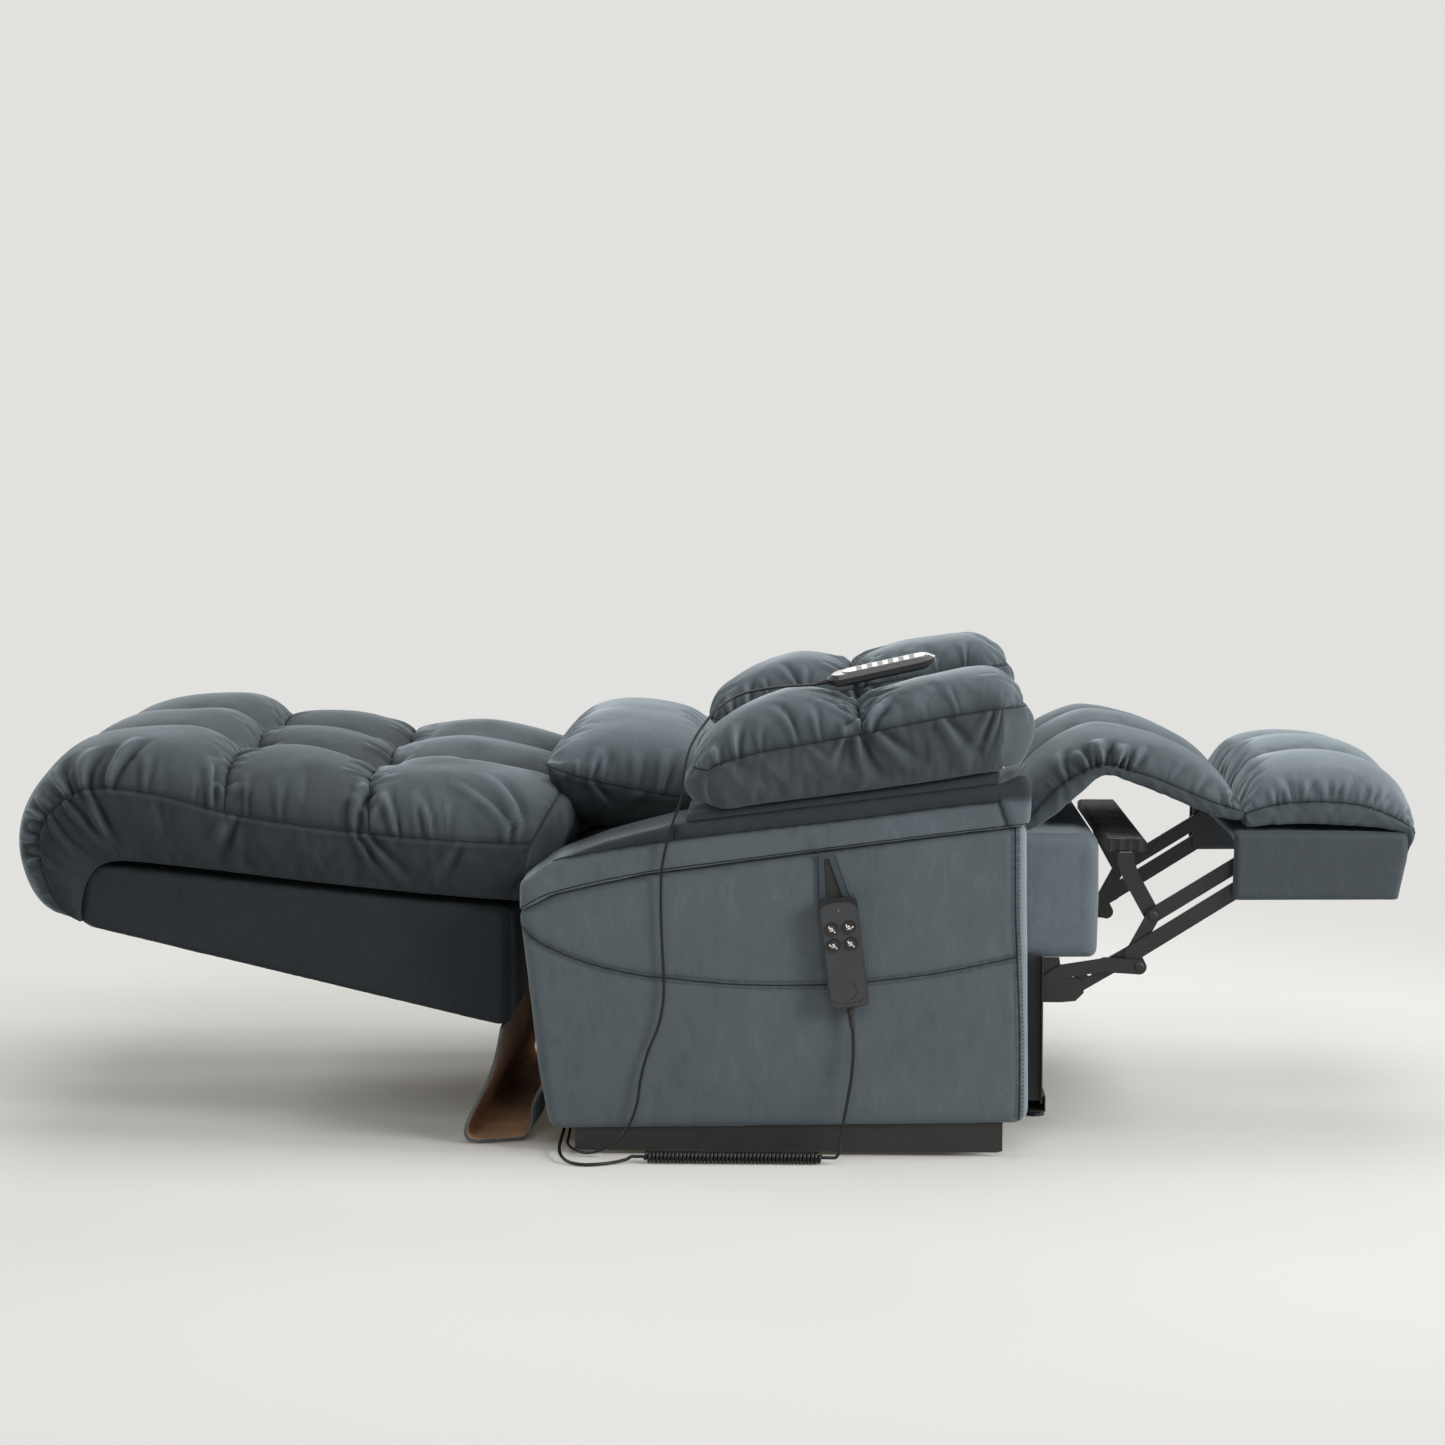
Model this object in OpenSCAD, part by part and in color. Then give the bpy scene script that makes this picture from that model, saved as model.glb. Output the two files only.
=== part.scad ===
// Power lift recliner chair, laid flat. +X points to the feet, +Y to the sitter's left, +Z up.
// The origin lies on the floor, under the middle of the chair.

/* [Arms] */
// Distance from the middle of the chair to the outer face of an arm
arm_outer = 430; // [400:1:450]
// Thickness of an arm box
arm_w = 155; // [130:1:170]
// Thickness of the strip round the top of an arm
band_proud = 3; // [1:0.5:5]
// Radius of the soft edges of an arm box
arm_round = 9; // [4:1:14]
// Thickness of the padded board under an arm pillow
deck_t = 11; // [8:0.5:14]
// Width of an arm pillow
pad_w = 188; // [170:1:196]
// Share of the drawn height of the crowns of the arm pillows
pad_crown = 1; // [0.8:0.05:1.1]

/* [Seat] */
// Half of the width of the seat between the arms
seat_half = 268; // [255:1:271]
// Height of the underside of the seat frame
seat_z = 256; // [250:1:262]
// Height of the top of the seat frame
frame_top_z = 318; // [300:1:330]
// How far the seat travels back when the chair sits upright
seat_travel = 115; // [100:1:120]
// Diameter of the wire of the seat springs
spring_wire = 4; // [3:0.1:5]
// Number of seat springs
spring_count = 5; // [3:1:6]

/* [Backrest] */
// Half of the width of the back cushion
back_half = 352; // [320:1:356]
// Half of the width of the upholstered back shell
shell_half = 336; // [300:1:345]
// Share of the drawn height of the crown of the back cushion
back_crown = 1; // [0.8:0.05:1.1]
// Thickness of the rear flap
flap_t = 5; // [3:0.5:7]
// Half of the width of the rear flap
flap_half = 335; // [280:1:345]

/* [Footrest] */
// Thickness of a footrest link
link_t = 4; // [3:0.1:4.2]
// Width of a footrest link
link_w = 24; // [20:1:26]
// Radius of a rivet
rivet_r = 5; // [4:0.1:6]
// Running clearance round a rivet
rivet_clear = 0.1; // [0.05:0.01:0.1]
// Clearance round a pivot that is left open
open_clear = 2.6; // [2.2:0.1:3]
// Height of the footrest box
box_h = 100; // [90:1:110]
// Wall of the footrest box
box_wall = 12; // [9:0.5:13]
// Share of the drawn height of the crowns of the footrest cushions
foot_crown = 1; // [0.8:0.05:1.1]

/* [Lift base] */
// Width of a floor rail
rail_w = 30; // [25:1:34]
// Height of a floor rail
rail_h = 24; // [20:1:24]
// Wall of the steel tubes
tube_wall = 2; // [1.5:0.1:3]
// Height of the feet under the rails
foot_h = 8; // [6:0.5:8]
// Length of a lift arm between its pivots
lift_len = 470; // [460:1:480]
// Radius of the lift pivot pins
lift_pin_r = 8; // [6:0.5:9]
// Radius of the torque tube
torque_r = 17; // [14:0.5:20]
// Radius of the motor tube
motor_r = 27; // [22:0.5:29]

/* [Handsets and cords] */
// Width of the handset
handset_w = 55; // [50:1:60]
// Length of the handset
handset_l = 154; // [140:1:160]
// Thickness of the handset
handset_t = 21; // [18:0.5:23]
// Diameter of a handset button
button_d = 18; // [15:0.5:19]
// Length of the massage remote
remote_l = 154; // [140:1:160]
// Width of the massage remote
remote_w = 48; // [42:1:52]
// Thickness of the massage remote
remote_t = 17; // [14:0.5:20]
// Diameter of the handset cord
cord_d = 4.8; // [4:0.1:5]
// Diameter of the massage remote cord
thin_cord_d = 3.8; // [3:0.1:3.9]
// Outer diameter of the curly part of the handset cord
curl_d = 17.4; // [15:0.1:18]
// Number of curls
curls = 46; // [30:1:48]

/* [Hidden] */
$fn = 48;

arm_inner = arm_outer - arm_w;
gap = 0.3;
right = -1;
left = 1;

// Lines of an arm, seen from the side
arm_seam = [[-272, 347], [-224, 372], [-100, 400], [50, 421], [200, 441.2], [350, 460.6], [436, 471]];
arm_top = [[-271, 387], [-224, 418], [-150, 446], [-50, 473], [425, 533]];

// Pivots of the back, the lift arms and the footrest
back_pivot = [-171, 302];
lift_base = [-140, 48];
lift_rise = 3;
lift_chassis = [lift_base[0] + lift_len * cos(lift_rise), lift_base[1] + lift_len * sin(lift_rise)];
p_rear = [514, 210];
p_second = [453.4, 205.2];
p_elbow = [602, 262];
p_tail = [611, 243];
p_upper = [631, 316];
p_foot = [760, 362];
p_foot_upper = [788, 414];

// Five layers of footrest links, counted inwards from the arm
layer_pitch = link_t + 0.4;
layer_out = 260;
function layer_y(n) = layer_out - n * layer_pitch - link_t;

// Gaps of the handset and of its buttons
handset_at = [181.5, 294];
handset_tilt = 7;
handset_back = arm_outer + band_proud + 1.6;
button_rows = [13, 36];
button_x = 12;
button_gap = 0.4;
button_h = 5.7;
button_floor = 8;

// Heights that the lift base fits
rail_y = 330;
rail_z = foot_h;
rail_back = -185;
rail_front = 372;
cross_x = 330;
rear_x = -165;
beam_x = 455;
beam_half = 165;
beam_w = 30;

function unit(v) = v / norm(v);

// A smooth line through control points, with n points between each pair
function spline_at(a, b, c, d, t) =
    0.5 * ((2 * b) + (c - a) * t + (2 * a - 5 * b + 4 * c - d) * t * t
    + (3 * b - a - 3 * c + d) * t * t * t);
function spline(p, n) = [for (i = [0:1:len(p) - 2], k = [0:1:n - 1])
    spline_at(p[max(i - 1, 0)], p[i], p[i + 1], p[min(i + 2, len(p) - 1)], k / n),
    p[len(p) - 1]];
// One point at the share t of a line through control points
function along(p, t) = let (s = t * (len(p) - 1), i = min(floor(s), len(p) - 2))
    spline_at(p[max(i - 1, 0)], p[i], p[i + 1], p[min(i + 2, len(p) - 1)], s - i);

// Draws a piece on both sides of the chair
module both_sides() {
    children();
    mirror([0, 1, 0]) children();
}

// A flat piece with an outline in X and Z, from one Y to another
module slab(outline, y_low, y_high) {
    translate([0, y_high, 0]) rotate([90, 0, 0]) linear_extrude(y_high - y_low) polygon(outline);
}

// A box between two corners
module block(low, high) {
    translate(low) cube(high - low);
}

// A round bar along Y
module pin(at, y_low, y_high, r) {
    translate([at[0], y_high, at[1]]) rotate([90, 0, 0]) cylinder(h = y_high - y_low, r = r);
}

// Outline of a link between two pivots
module link_outline(a, b, w) {
    d = b - a;
    translate(a) circle(d = w);
    translate(b) circle(d = w);
    translate(a) rotate(atan2(d[1], d[0])) translate([0, -w / 2 + 0.2]) square([norm(d), w - 0.4]);
}

// A link plate in its layer, drilled for its rivets
module link_plate(layer, holes) {
    y = layer_y(layer);
    difference() {
        translate([0, y + link_t, 0]) rotate([90, 0, 0]) linear_extrude(link_t) children();
        for (hole = holes) pin([hole[0], hole[1]], y - 1, y + link_t + 1, hole[2]);
    }
}

// A closed tube of round section along a list of points
function turn(n, t) = unit(n - (n * t) * t);
function direction(p, i) = unit(p[min(i + 1, len(p) - 1)] - p[max(i - 1, 0)]);
function tube_points(p, r, sides, first) = [for (i = 0, n = turn(first, direction(p, 0)); i < len(p);
    i = i + 1, n = turn(n, direction(p, min(i, len(p) - 1))))
    for (k = [0:1:sides - 1])
        p[i] + r * (cos(360 * k / sides) * n + sin(360 * k / sides) * cross(direction(p, i), n))];
function tube_faces(rings, sides) = concat(
    [[for (k = [0:1:sides - 1]) k]],
    [[for (k = [sides - 1:-1:0]) (rings - 1) * sides + k]],
    [for (i = [0:1:rings - 2], k = [0:1:sides - 1], half = [0, 1])
        let (a = i * sides + k, b = i * sides + (k + 1) % sides, c = a + sides, d = b + sides)
        half == 0 ? [a, c, b] : [b, c, d]]);
module tube(p, d, sides, first) {
    polyhedron(tube_points(p, d / 2, sides, first), tube_faces(len(p), sides));
}

// A quilted cushion: a crowned top with seams drawn in across and along it, a side
// gusset between the seams, and a bottom that follows its own line
plain_across = [-1, -0.96, -0.84, -0.6, -0.3, 0, 0.3, 0.6, 0.84, 0.96, 1];
three_across = [-1, -0.965, -0.86, -0.66, -0.43, -0.333, -0.24, 0, 0.24, 0.333, 0.43, 0.66, 0.86, 0.965, 1];
three_cols = [-0.333, 0.333];
col_width = 0.09;
edge_power = 3;
function near_seam(t, seams, w) = max(concat([0], [for (q = seams) exp(-pow((t - q) / w, 2))]));
function cushion_top(seam, crowns, n, across, half, rows, row_w, cols, depth, draw) =
    [for (i = [0:1:n], v = across)
        let (t = i / n, p = along(seam, t),
            q = along(seam, min(t + 0.01, 1)) - along(seam, max(t - 0.01, 0)),
            up = unit([-q[1], q[0]]),
            row = near_seam(t, rows, row_w), col = near_seam(v, cols, col_width),
            sides = pow(max(1 - pow(abs(v), edge_power), 0), 0.5),
            rise = along(crowns, t) * sides * (1 - depth[0] * row) * (1 - depth[1] * col),
            y = half * v * (1 - draw * row))
        [p[0] + up[0] * rise, y, p[1] + up[1] * rise]];
function cushion_bottom(base, n, half) = [for (i = [0:1:n], side = [-1, 1])
    let (p = along(base, i / n)) [p[0], side * half, p[1]]];
function cushion_faces(n, m) = let (w = m + 1, b = (n + 1) * w) concat(
    [for (i = [0:1:n - 1], j = [0:1:m - 1], part = [0, 1])
        let (a = i * w + j, c = a + w) part == 0 ? [a, a + 1, c] : [a + 1, c + 1, c]],
    [for (i = [0:1:n - 1], part = [0, 1])
        let (a = b + 2 * i) part == 0 ? [a, a + 2, a + 1] : [a + 1, a + 2, a + 3]],
    [for (i = [0:1:n - 1], part = [0, 1])
        let (a = i * w, c = b + 2 * i) part == 0 ? [a, a + w, c] : [a + w, c + 2, c]],
    [for (i = [0:1:n - 1], part = [0, 1])
        let (a = i * w + m, c = b + 2 * i + 1) part == 0 ? [a, c, a + w] : [a + w, c, c + 2]],
    [for (j = [0:1:m - 1]) [b, j + 1, j]], [[b, b + 1, m]],
    [for (j = [0:1:m - 1]) [b + 2 * n, n * w + j, n * w + j + 1]], [[b + 2 * n, n * w + m, b + 2 * n + 1]]);
module cushion(seam, base, crowns, n, across, half, base_half, rows, row_w, cols, depth, draw) {
    polyhedron(concat(cushion_top(seam, crowns, n, across, half, rows, row_w, cols, depth, draw),
        cushion_bottom(base, n, base_half)), cushion_faces(n, len(across) - 1));
}

// ---- Lift base ----

// A steel tube of rectangular section along X
module tube_x(low, high) {
    difference() {
        block(low, high);
        block(low + [-1, tube_wall, tube_wall], high + [1, -tube_wall, -tube_wall]);
    }
}

// A steel tube of rectangular section along Y
module tube_y(low, high) {
    difference() {
        block(low, high);
        block(low + [tube_wall, -1, tube_wall], high + [-tube_wall, 1, -tube_wall]);
    }
}

module base_rails() {
    color("#1d1e20") both_sides()
        tube_x([rail_back, rail_y - rail_w / 2, rail_z], [rail_front, rail_y + rail_w / 2,
            rail_z + rail_h]);
}

motor_z = 112;
motor_front = 424;
clevis_y = 14;
module base_front_beam() {
    inner = rail_y - rail_w / 2;
    color("#1d1e20") {
        tube_y([cross_x, -inner, rail_z], [cross_x + beam_w, inner, rail_z + rail_h]);
        tube_x([cross_x + beam_w, -30, rail_z], [beam_x, 30, rail_z + rail_h]);
        tube_y([beam_x, -beam_half, rail_z], [beam_x + beam_w, beam_half, rail_z + rail_h]);
        for (side = [right, left]) translate([0, side * (clevis_y + 3), 0]) difference() {
            slab([[385, rail_z + rail_h], [440, rail_z + rail_h], [440, motor_z], [432, motor_z + 14],
                [416, motor_z + 14], [404, motor_z - 10]], -3, 3);
            pin([motor_front, motor_z], -5, 5, rivet_r + rivet_clear);
        }
    }
}

module base_rear_beam() {
    inner = rail_y - rail_w / 2;
    color("#1d1e20") {
        tube_y([rear_x, -inner, rail_z], [rear_x + beam_w, inner, rail_z + rail_h]);
        both_sides() difference() {
            slab([[rear_x, rail_z + rail_h], [rear_x + 50, rail_z + rail_h], [lift_base[0] + 16,
                lift_base[1] + 14],
                [lift_base[0] + 8, lift_base[1] + 20], [lift_base[0] - 8, lift_base[1] + 20],
                [rear_x + 2, lift_base[1] + 8]], 240, 245);
            pin(lift_base, 238, 247, lift_pin_r + rivet_clear);
        }
    }
}

// Plastic boots on the ends of the rails, and pads under the front beam
module base_feet() {
    color("#161617") {
        both_sides() {
            foot_boot(rail_front, 1);
            foot_boot(rail_back, -1);
            translate([beam_x + beam_w / 2, beam_half - 18, 0]) cylinder(h = foot_h, d1 = beam_w,
                d2 = beam_w - 4, $fn = 12);
        }
    }
}

module foot_boot(x, way) {
    low = min(x, x + way * 16);
    high = max(x, x + way * 16);
    block([low, rail_y - rail_w / 2 - 3, 0], [high, rail_y + rail_w / 2 + 3, rail_z + rail_h + 1]);
    under = way > 0 ? [x - 46, x] : [x, x + 46];
    block([under[0], rail_y - rail_w / 2 - 3, 0], [under[1], rail_y + rail_w / 2 + 3, foot_h]);
}

// Motor with its gear case and spindle tube, on the front clevis
motor_back = 150;
spindle_r = 11;
slide_clear = 0.08;
module lift_motor() {
    color("#2a2b2d") {
        difference() {
            translate([motor_back, 0, motor_z]) rotate([0, 90, 0]) cylinder(h = 225, r = 19);
            translate([motor_back - 1, 0, motor_z]) rotate([0, 90, 0]) cylinder(h = 171,
                r = spindle_r + slide_clear);
        }
        translate([372, 0, motor_z]) rotate([0, 90, 0]) cylinder(h = 26, r = motor_r);
        block([396, -clevis_y + gap, motor_z - 12], [motor_front + 10, clevis_y - gap, motor_z + 12]);
        pin([motor_front, motor_z], -(clevis_y + 9), clevis_y + 9, rivet_r);
        translate([352, 0, 68]) cylinder(h = motor_z - 10 - 68, r = 18);
    }
}

module lift_arms() {
    y_low = 246;
    color("#1d1e20") both_sides() {
        difference() {
            translate([0, y_low + 5, 0]) rotate([90, 0, 0]) linear_extrude(5) union() {
                link_outline(lift_base, lift_chassis, 31);
            }
            pin(lift_chassis, y_low - 1, y_low + 8, lift_pin_r + rivet_clear);
        }
        pin(lift_base, 232, y_low + 0.5, lift_pin_r);
    }
}

// The cross tube of the lift arms, with the lever that the lift rod pushes
lever_lean = 12;
tube_at = lift_base + [60, 3];
lever_pin = [lift_base[0] + (motor_z - lift_base[1]) * tan(lever_lean), motor_z];
module torque_tube() {
    color("#1d1e20") {
        pin(tube_at, -246, 246, torque_r);
        both_sides() translate([0, 14, 0]) rotate([90, 0, 0]) linear_extrude(6)
            link_outline(tube_at, lever_pin, 22);
        pin(lever_pin, -13, 13, rivet_r);
    }
}

module lift_rod() {
    color("#c9cbcd") {
        translate([-88, 0, motor_z]) rotate([0, 90, 0]) cylinder(h = 388, r = spindle_r);
        difference() {
            block([lever_pin[0] - 12, -6, motor_z - 10], [-87, 6, motor_z + 10]);
            pin(lever_pin, -8, 8, rivet_r + 1.9);
        }
    }
}

// ---- Arms ----

arm_foot = [[436, 277], [441, 66], [437, 54], [425, 49], [150, 47], [-150, 41], [-222, 37], [-231, 42],
    [-234, 52], [-246, 117], [-268, 317]];

// An arm box with soft edges along its outer and inner faces
module arm_shape(outline, y_low, y_high, r) {
    low = [min([for (p = outline) p[0]]), min([for (p = outline) p[1]])];
    high = [max([for (p = outline) p[0]]), max([for (p = outline) p[1]])];
    mid = (low + high) / 2;
    hull() {
        slab(outline, y_low + r, y_high - r);
        slab([for (p = outline) p - r * unit(p - mid)], y_low, y_high);
    }
}

module arm_box() {
    outline = concat(arm_foot, [for (p = arm_seam) p - [0, 1]]);
    arm_shape(outline, arm_inner, arm_outer, arm_round);
}

module arm_right() {
    color("#5f6d73") mirror([0, 1, 0]) arm_box();
}

module arm_left() {
    color("#5f6d73") arm_box();
}

// The strip that wraps the top of each arm, with its rounded front cap
band_front = [[436, 471], [441, 478], [442, 500], [438, 524]];
band_cap = [[402, 505], [436, 488], [442, 500], [441, 529], [436, 540], [424, 541], [402, 530]];
module arm_bands() {
    band = concat([for (p = arm_seam) p], band_front, [for (i = [len(arm_top) - 1:-1:0]) arm_top[i]]);
    color("#66757b") both_sides() difference() {
        union() {
            arm_shape(band, arm_inner - 2, arm_outer + band_proud, 7);
            arm_shape(band_cap, arm_inner - 2, arm_outer + band_proud, 4);
        }
        slab(concat([[-300, 300], [460, 300], [460, 471]], [for (i = [len(arm_seam) - 1:-1:0]) arm_seam[i]],
            [[-300, 347]]), arm_inner - 20, arm_outer + 20);
    }
}

// The padded board that carries each arm pillow
deck_line = [[-38, 474.6], [398, 529.7]];
deck_top = [[398, 547], [300, 530], [200, 516.2], [70, 488.3 + deck_t], [-38, 474.6 + deck_t]];
module arm_decks() {
    color("#5b696f") both_sides() slab(concat(deck_line, deck_top), arm_outer - 158, arm_outer + 2);
}

// A tufted arm pillow of two puffs
pad_seam = [[-34, 546], [20, 560], [110, 580], [205, 595], [300, 614], [400, 632], [444, 640]];
pad_base = [[-32, 501], [8, 492.6], [110, 505.6], [205, 518.2], [300, 531.6], [392, 548], [434, 562]];
pad_crowns = pad_crown * [0, 62, 68, 68, 76, 62, 0];
pad_y = 364;
module arm_pad() {
    translate([0, pad_y, 0]) cushion(pad_seam, pad_base, pad_crowns, 21, plain_across, pad_w / 2,
        pad_w / 2 - 14, [0.476], 0.05, [], [0.55, 0], 0.05);
}

module arm_pad_right() {
    color("#65747a") mirror([0, 1, 0]) arm_pad();
}

module arm_pad_left() {
    color("#65747a") arm_pad();
}

// ---- Chassis between the arms ----

plate_t = 4;
plate_in = 264;
boss_at = [[-180, 150], [60, 150], [400, 150]];
module chassis_plates() {
    color("#1d1e20") both_sides() {
        for (at = boss_at) pin(at, plate_in + plate_t - 0.5, arm_inner, 12);
        chassis_plate();
    }
}

module chassis_plate() {
    difference() {
        slab([[-205, 96], [-205, 236], [-60, 236], [430, 236], [430, 90], [360, 64], [300, 64], [250, 96]],
            plate_in, plate_in + plate_t);
        pin(lift_chassis, plate_in - 1, plate_in + plate_t + 1, lift_pin_r + 0.05);
        for (x = roller_x) slab([[x - seat_travel - roller_r - 1, roller_z - roller_r - gap],
            [x + roller_r + 1, roller_z - roller_r - gap], [x + roller_r + 1, roller_z + roller_r + gap],
            [x - seat_travel - roller_r - 1, roller_z + roller_r + gap]], plate_in - 1,
            plate_in + plate_t + 1);
    }
}

cross_front_x = 296;
module chassis_cross_front() {
    color("#1d1e20") {
        tube_y([cross_front_x, -plate_in, 150], [cross_front_x + 30, plate_in, 174]);
        both_sides() pin(lift_chassis, 238, plate_in + plate_t + 4, lift_pin_r);
    }
}

cross_rear_x = -238;
cross_w = 30;
module chassis_cross_rear() {
    color("#1d1e20") {
        tube_y([cross_rear_x, -plate_in, 74], [cross_rear_x + cross_w, plate_in, 100]);
        both_sides() slab([[cross_rear_x, 99], [-170, 99], [-170, 180], [-205, 180], [cross_rear_x, 130]],
            plate_in - plate_t, plate_in);
    }
}

// Steel posts at the front inner corners of the arms
module front_posts() {
    color("#161617") both_sides() difference() {
        union() {
            block([441.3, arm_inner + 1.3, 50], [470, arm_inner + 26, seat_z + 6]);
            block([380, plate_in + plate_t, 104], [443, arm_inner - 1.5, 136]);
            block([441.3, plate_in + plate_t, 104], [443, arm_inner + 2, 136]);
        }
        block([443.3, arm_inner + 3.3, 48], [468, arm_inner + 27, seat_z + 8]);
    }
}

control_low = [cross_rear_x + cross_w, -215, 62];
control_high = [-112, -105, 100];
module control_box() {
    color("#202123") difference() {
        block(control_low, control_high);
        block([control_high[0] - 14, -176, 68], [control_high[0] + 1, -144, 94]);
    }
}

gland_l = 12;
gland_handset = [-180, 80];
gland_remote = [-150, 80];
module cord_glands() {
    color("#161617") for (at = [gland_handset, gland_remote])
        pin(at, control_low[1] - gland_l, control_low[1], 7);
}

module mains_inlet() {
    color("#2b2c2e") difference() {
        block([control_high[0] - 13.8, -175.8, 68.2], [control_high[0] + 2, -144.2, 93.8]);
        block([control_high[0] - 10, -172, 72], [control_high[0] + 3, -148, 90]);
    }
}

// ---- Handset, its strap and its cord ----

// Places a piece on the handset: X across, Y up its length, Z out of its face
module on_handset(z) {
    translate([handset_at[0], -handset_back - z, handset_at[1]]) rotate([90, 0, 0])
        rotate([0, 0, handset_tilt]) children();
}

module round_plate(w, l, t, r) {
    linear_extrude(t) union() {
        square([w - 2 * r, l], center = true);
        square([w, l - 2 * r], center = true);
        for (x = [-1, 1], y = [-1, 1]) translate([x * (w / 2 - r), y * (l / 2 - r)]) circle(r = r);
    }
}

module handset_strap() {
    y_face = arm_outer + band_proud + 0.3;
    color("#4c5a61") difference() {
        slab([[145, 432], [168, 432], [193, 366], [190, 356], [147, 356]], -y_face - 1.2, -y_face);
        slab([[155, 424], [160, 424], [180, 369], [158, 369]], -y_face - 3, -y_face + 2);
    }
}

rim_t = 8;
module handset_rim() {
    color("#101112") on_handset(0) round_plate(handset_w, handset_l, rim_t, 9);
}

module handset_case() {
    face_t = handset_t - rim_t;
    color("#2e3033") on_handset(rim_t) difference() {
        union() {
            round_plate(handset_w, handset_l, face_t - 3, 9);
            round_plate(handset_w - 5, handset_l - 5, face_t, 7);
        }
        for (x = [-1, 1], y = button_rows) translate([x * button_x, y, button_floor])
            cylinder(h = face_t, d = button_d + 2 * button_gap);
        translate([0, -handset_l / 2 + 24, face_t - 1]) cylinder(h = 4, d = 26);
    }
}

module button(column, row) {
    color("#0b0b0c") on_handset(rim_t) translate([column * button_x, button_rows[row],
        handset_t - rim_t - button_h + 2.6])
        cylinder(h = button_h, d = button_d);
}

module button_back_up() { button(-1, 1); }
module button_back_down() { button(-1, 0); }
module button_legs_up() { button(1, 1); }
module button_legs_down() { button(1, 0); }

relief_l = 30;
module handset_relief() {
    color("#161617") on_handset(handset_t / 2) translate([0, -handset_l / 2, 0]) rotate([90, 0, 0]) {
        cylinder(h = relief_l, d = 7);
        for (k = [0:1:5]) translate([0, 0, 2 + 4.6 * k]) cylinder(h = 2.5, d = 9.6 - 0.3 * k);
    }
}

cord_start = [handset_at[0] + (handset_l / 2 + relief_l) * sin(handset_tilt),
    -(handset_back + handset_t / 2), handset_at[1] - (handset_l / 2 + relief_l) * cos(handset_tilt)];
coil_y = -471;
coil_z = curl_d / 2 + 0.5;
coil_front = 164;
coil_back = -108;
drop_route = [cord_start, [195.5, -446, 172], [195.5, -448, 148], [193, -451, 118], [188, -455, 88],
    [182, -461, 56], [178, -466, 32], [176, -470, 17], [coil_front + 8, coil_y, coil_z + 1],
    [coil_front + 4, coil_y, coil_z], [coil_front, coil_y, coil_z]];
tail_route = [[coil_back, coil_y, coil_z], [coil_back - 5, coil_y, coil_z], [-122, -473, 5], [-140,
    -482, 3],
    [-160, -492, 3], [-180, -494, 3], [-200, -484, 4], [-212, -464, 8], [-217, -436, 12], [-218, -400, 14],
    [-218, -350, 16], [-216, -300, 24], [-208, -264, 44], [-196, -246, 68], [-184, -239, 79],
    [gland_handset[0], -234, gland_handset[1]], [gland_handset[0], control_low[1] - gland_l - 0.3,
    gland_handset[1]]];

module handset_cord_drop() {
    color("#141415") tube(spline(drop_route, 2), cord_d, 8, [0, 1, 0]);
}

module handset_cord_tail() {
    color("#141415") tube(spline(tail_route, 2), cord_d, 8, [0, 1, 0]);
}

// The curly part: a helix whose ends run straight on its axis
coil_rings = 8;
coil_wire = 4.4;
coil_r = (curl_d - coil_wire) / 2;
coil_lead = 12;
coil_span = coil_front - coil_back - 2 * coil_lead;
coil_path = concat(
    [[coil_front, coil_y, coil_z], [coil_front - coil_wire, coil_y, coil_z]],
    [for (i = [0:1:curls * coil_rings]) let (a = 360 * i / coil_rings, grow = min(1, i / 6,
    (curls * coil_rings - i) / 6),
        r = coil_r * max(grow, 0.12))
        [coil_front - coil_lead - coil_span * i / (curls * coil_rings), coil_y + r * cos(a),
        coil_z + r * sin(a)]],
    [[coil_back + coil_wire, coil_y, coil_z], [coil_back, coil_y, coil_z]]);
coil_step = coil_span / curls;
coil_least_gap = min([for (i = [16:1:coil_rings * 3], k = [coil_rings - 2:1:coil_rings + 2])
    norm(coil_path[i] - coil_path[i + k])]) - coil_wire;
echo(coil_least_gap = coil_least_gap);

module handset_cord_coil() {
    color("#141415") tube(coil_path, coil_wire, 6, [0, 1, 0]);
}

// ---- Massage remote and its cord ----

remote_at = [235, -398, 677];
remote_tilt = 12.5;
remote_roll = 8;
module on_remote() {
    translate(remote_at) rotate([0, -remote_tilt, 0]) rotate([remote_roll, 0, 0]) children();
}

module remote_case() {
    color("#0c0d0e") on_remote() hull() {
        for (x = [-1, 1]) translate([x * (remote_l - remote_w) / 2, 0, 0]) {
            cylinder(h = remote_t, r = remote_w / 2 - 8, $fn = 32);
            translate([0, 0, 5]) cylinder(h = remote_t - 10, r = remote_w / 2, $fn = 32);
        }
    }
}

module remote_keypad() {
    color("#8b8f92") on_remote() translate([6, 0, remote_t + 0.01]) hull()
        for (x = [-1, 1]) translate([x * 46, 0, 0]) cylinder(h = 1.2, r = 14, $fn = 32);
}

remote_relief_l = 14;
remote_end = remote_l / 2 + 0.2;
module remote_relief() {
    color("#141415") on_remote() translate([-remote_end, 0, remote_t / 2]) rotate([0, -90, 0])
        cylinder(h = remote_relief_l, d1 = 8, d2 = 5.5);
}

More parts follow.
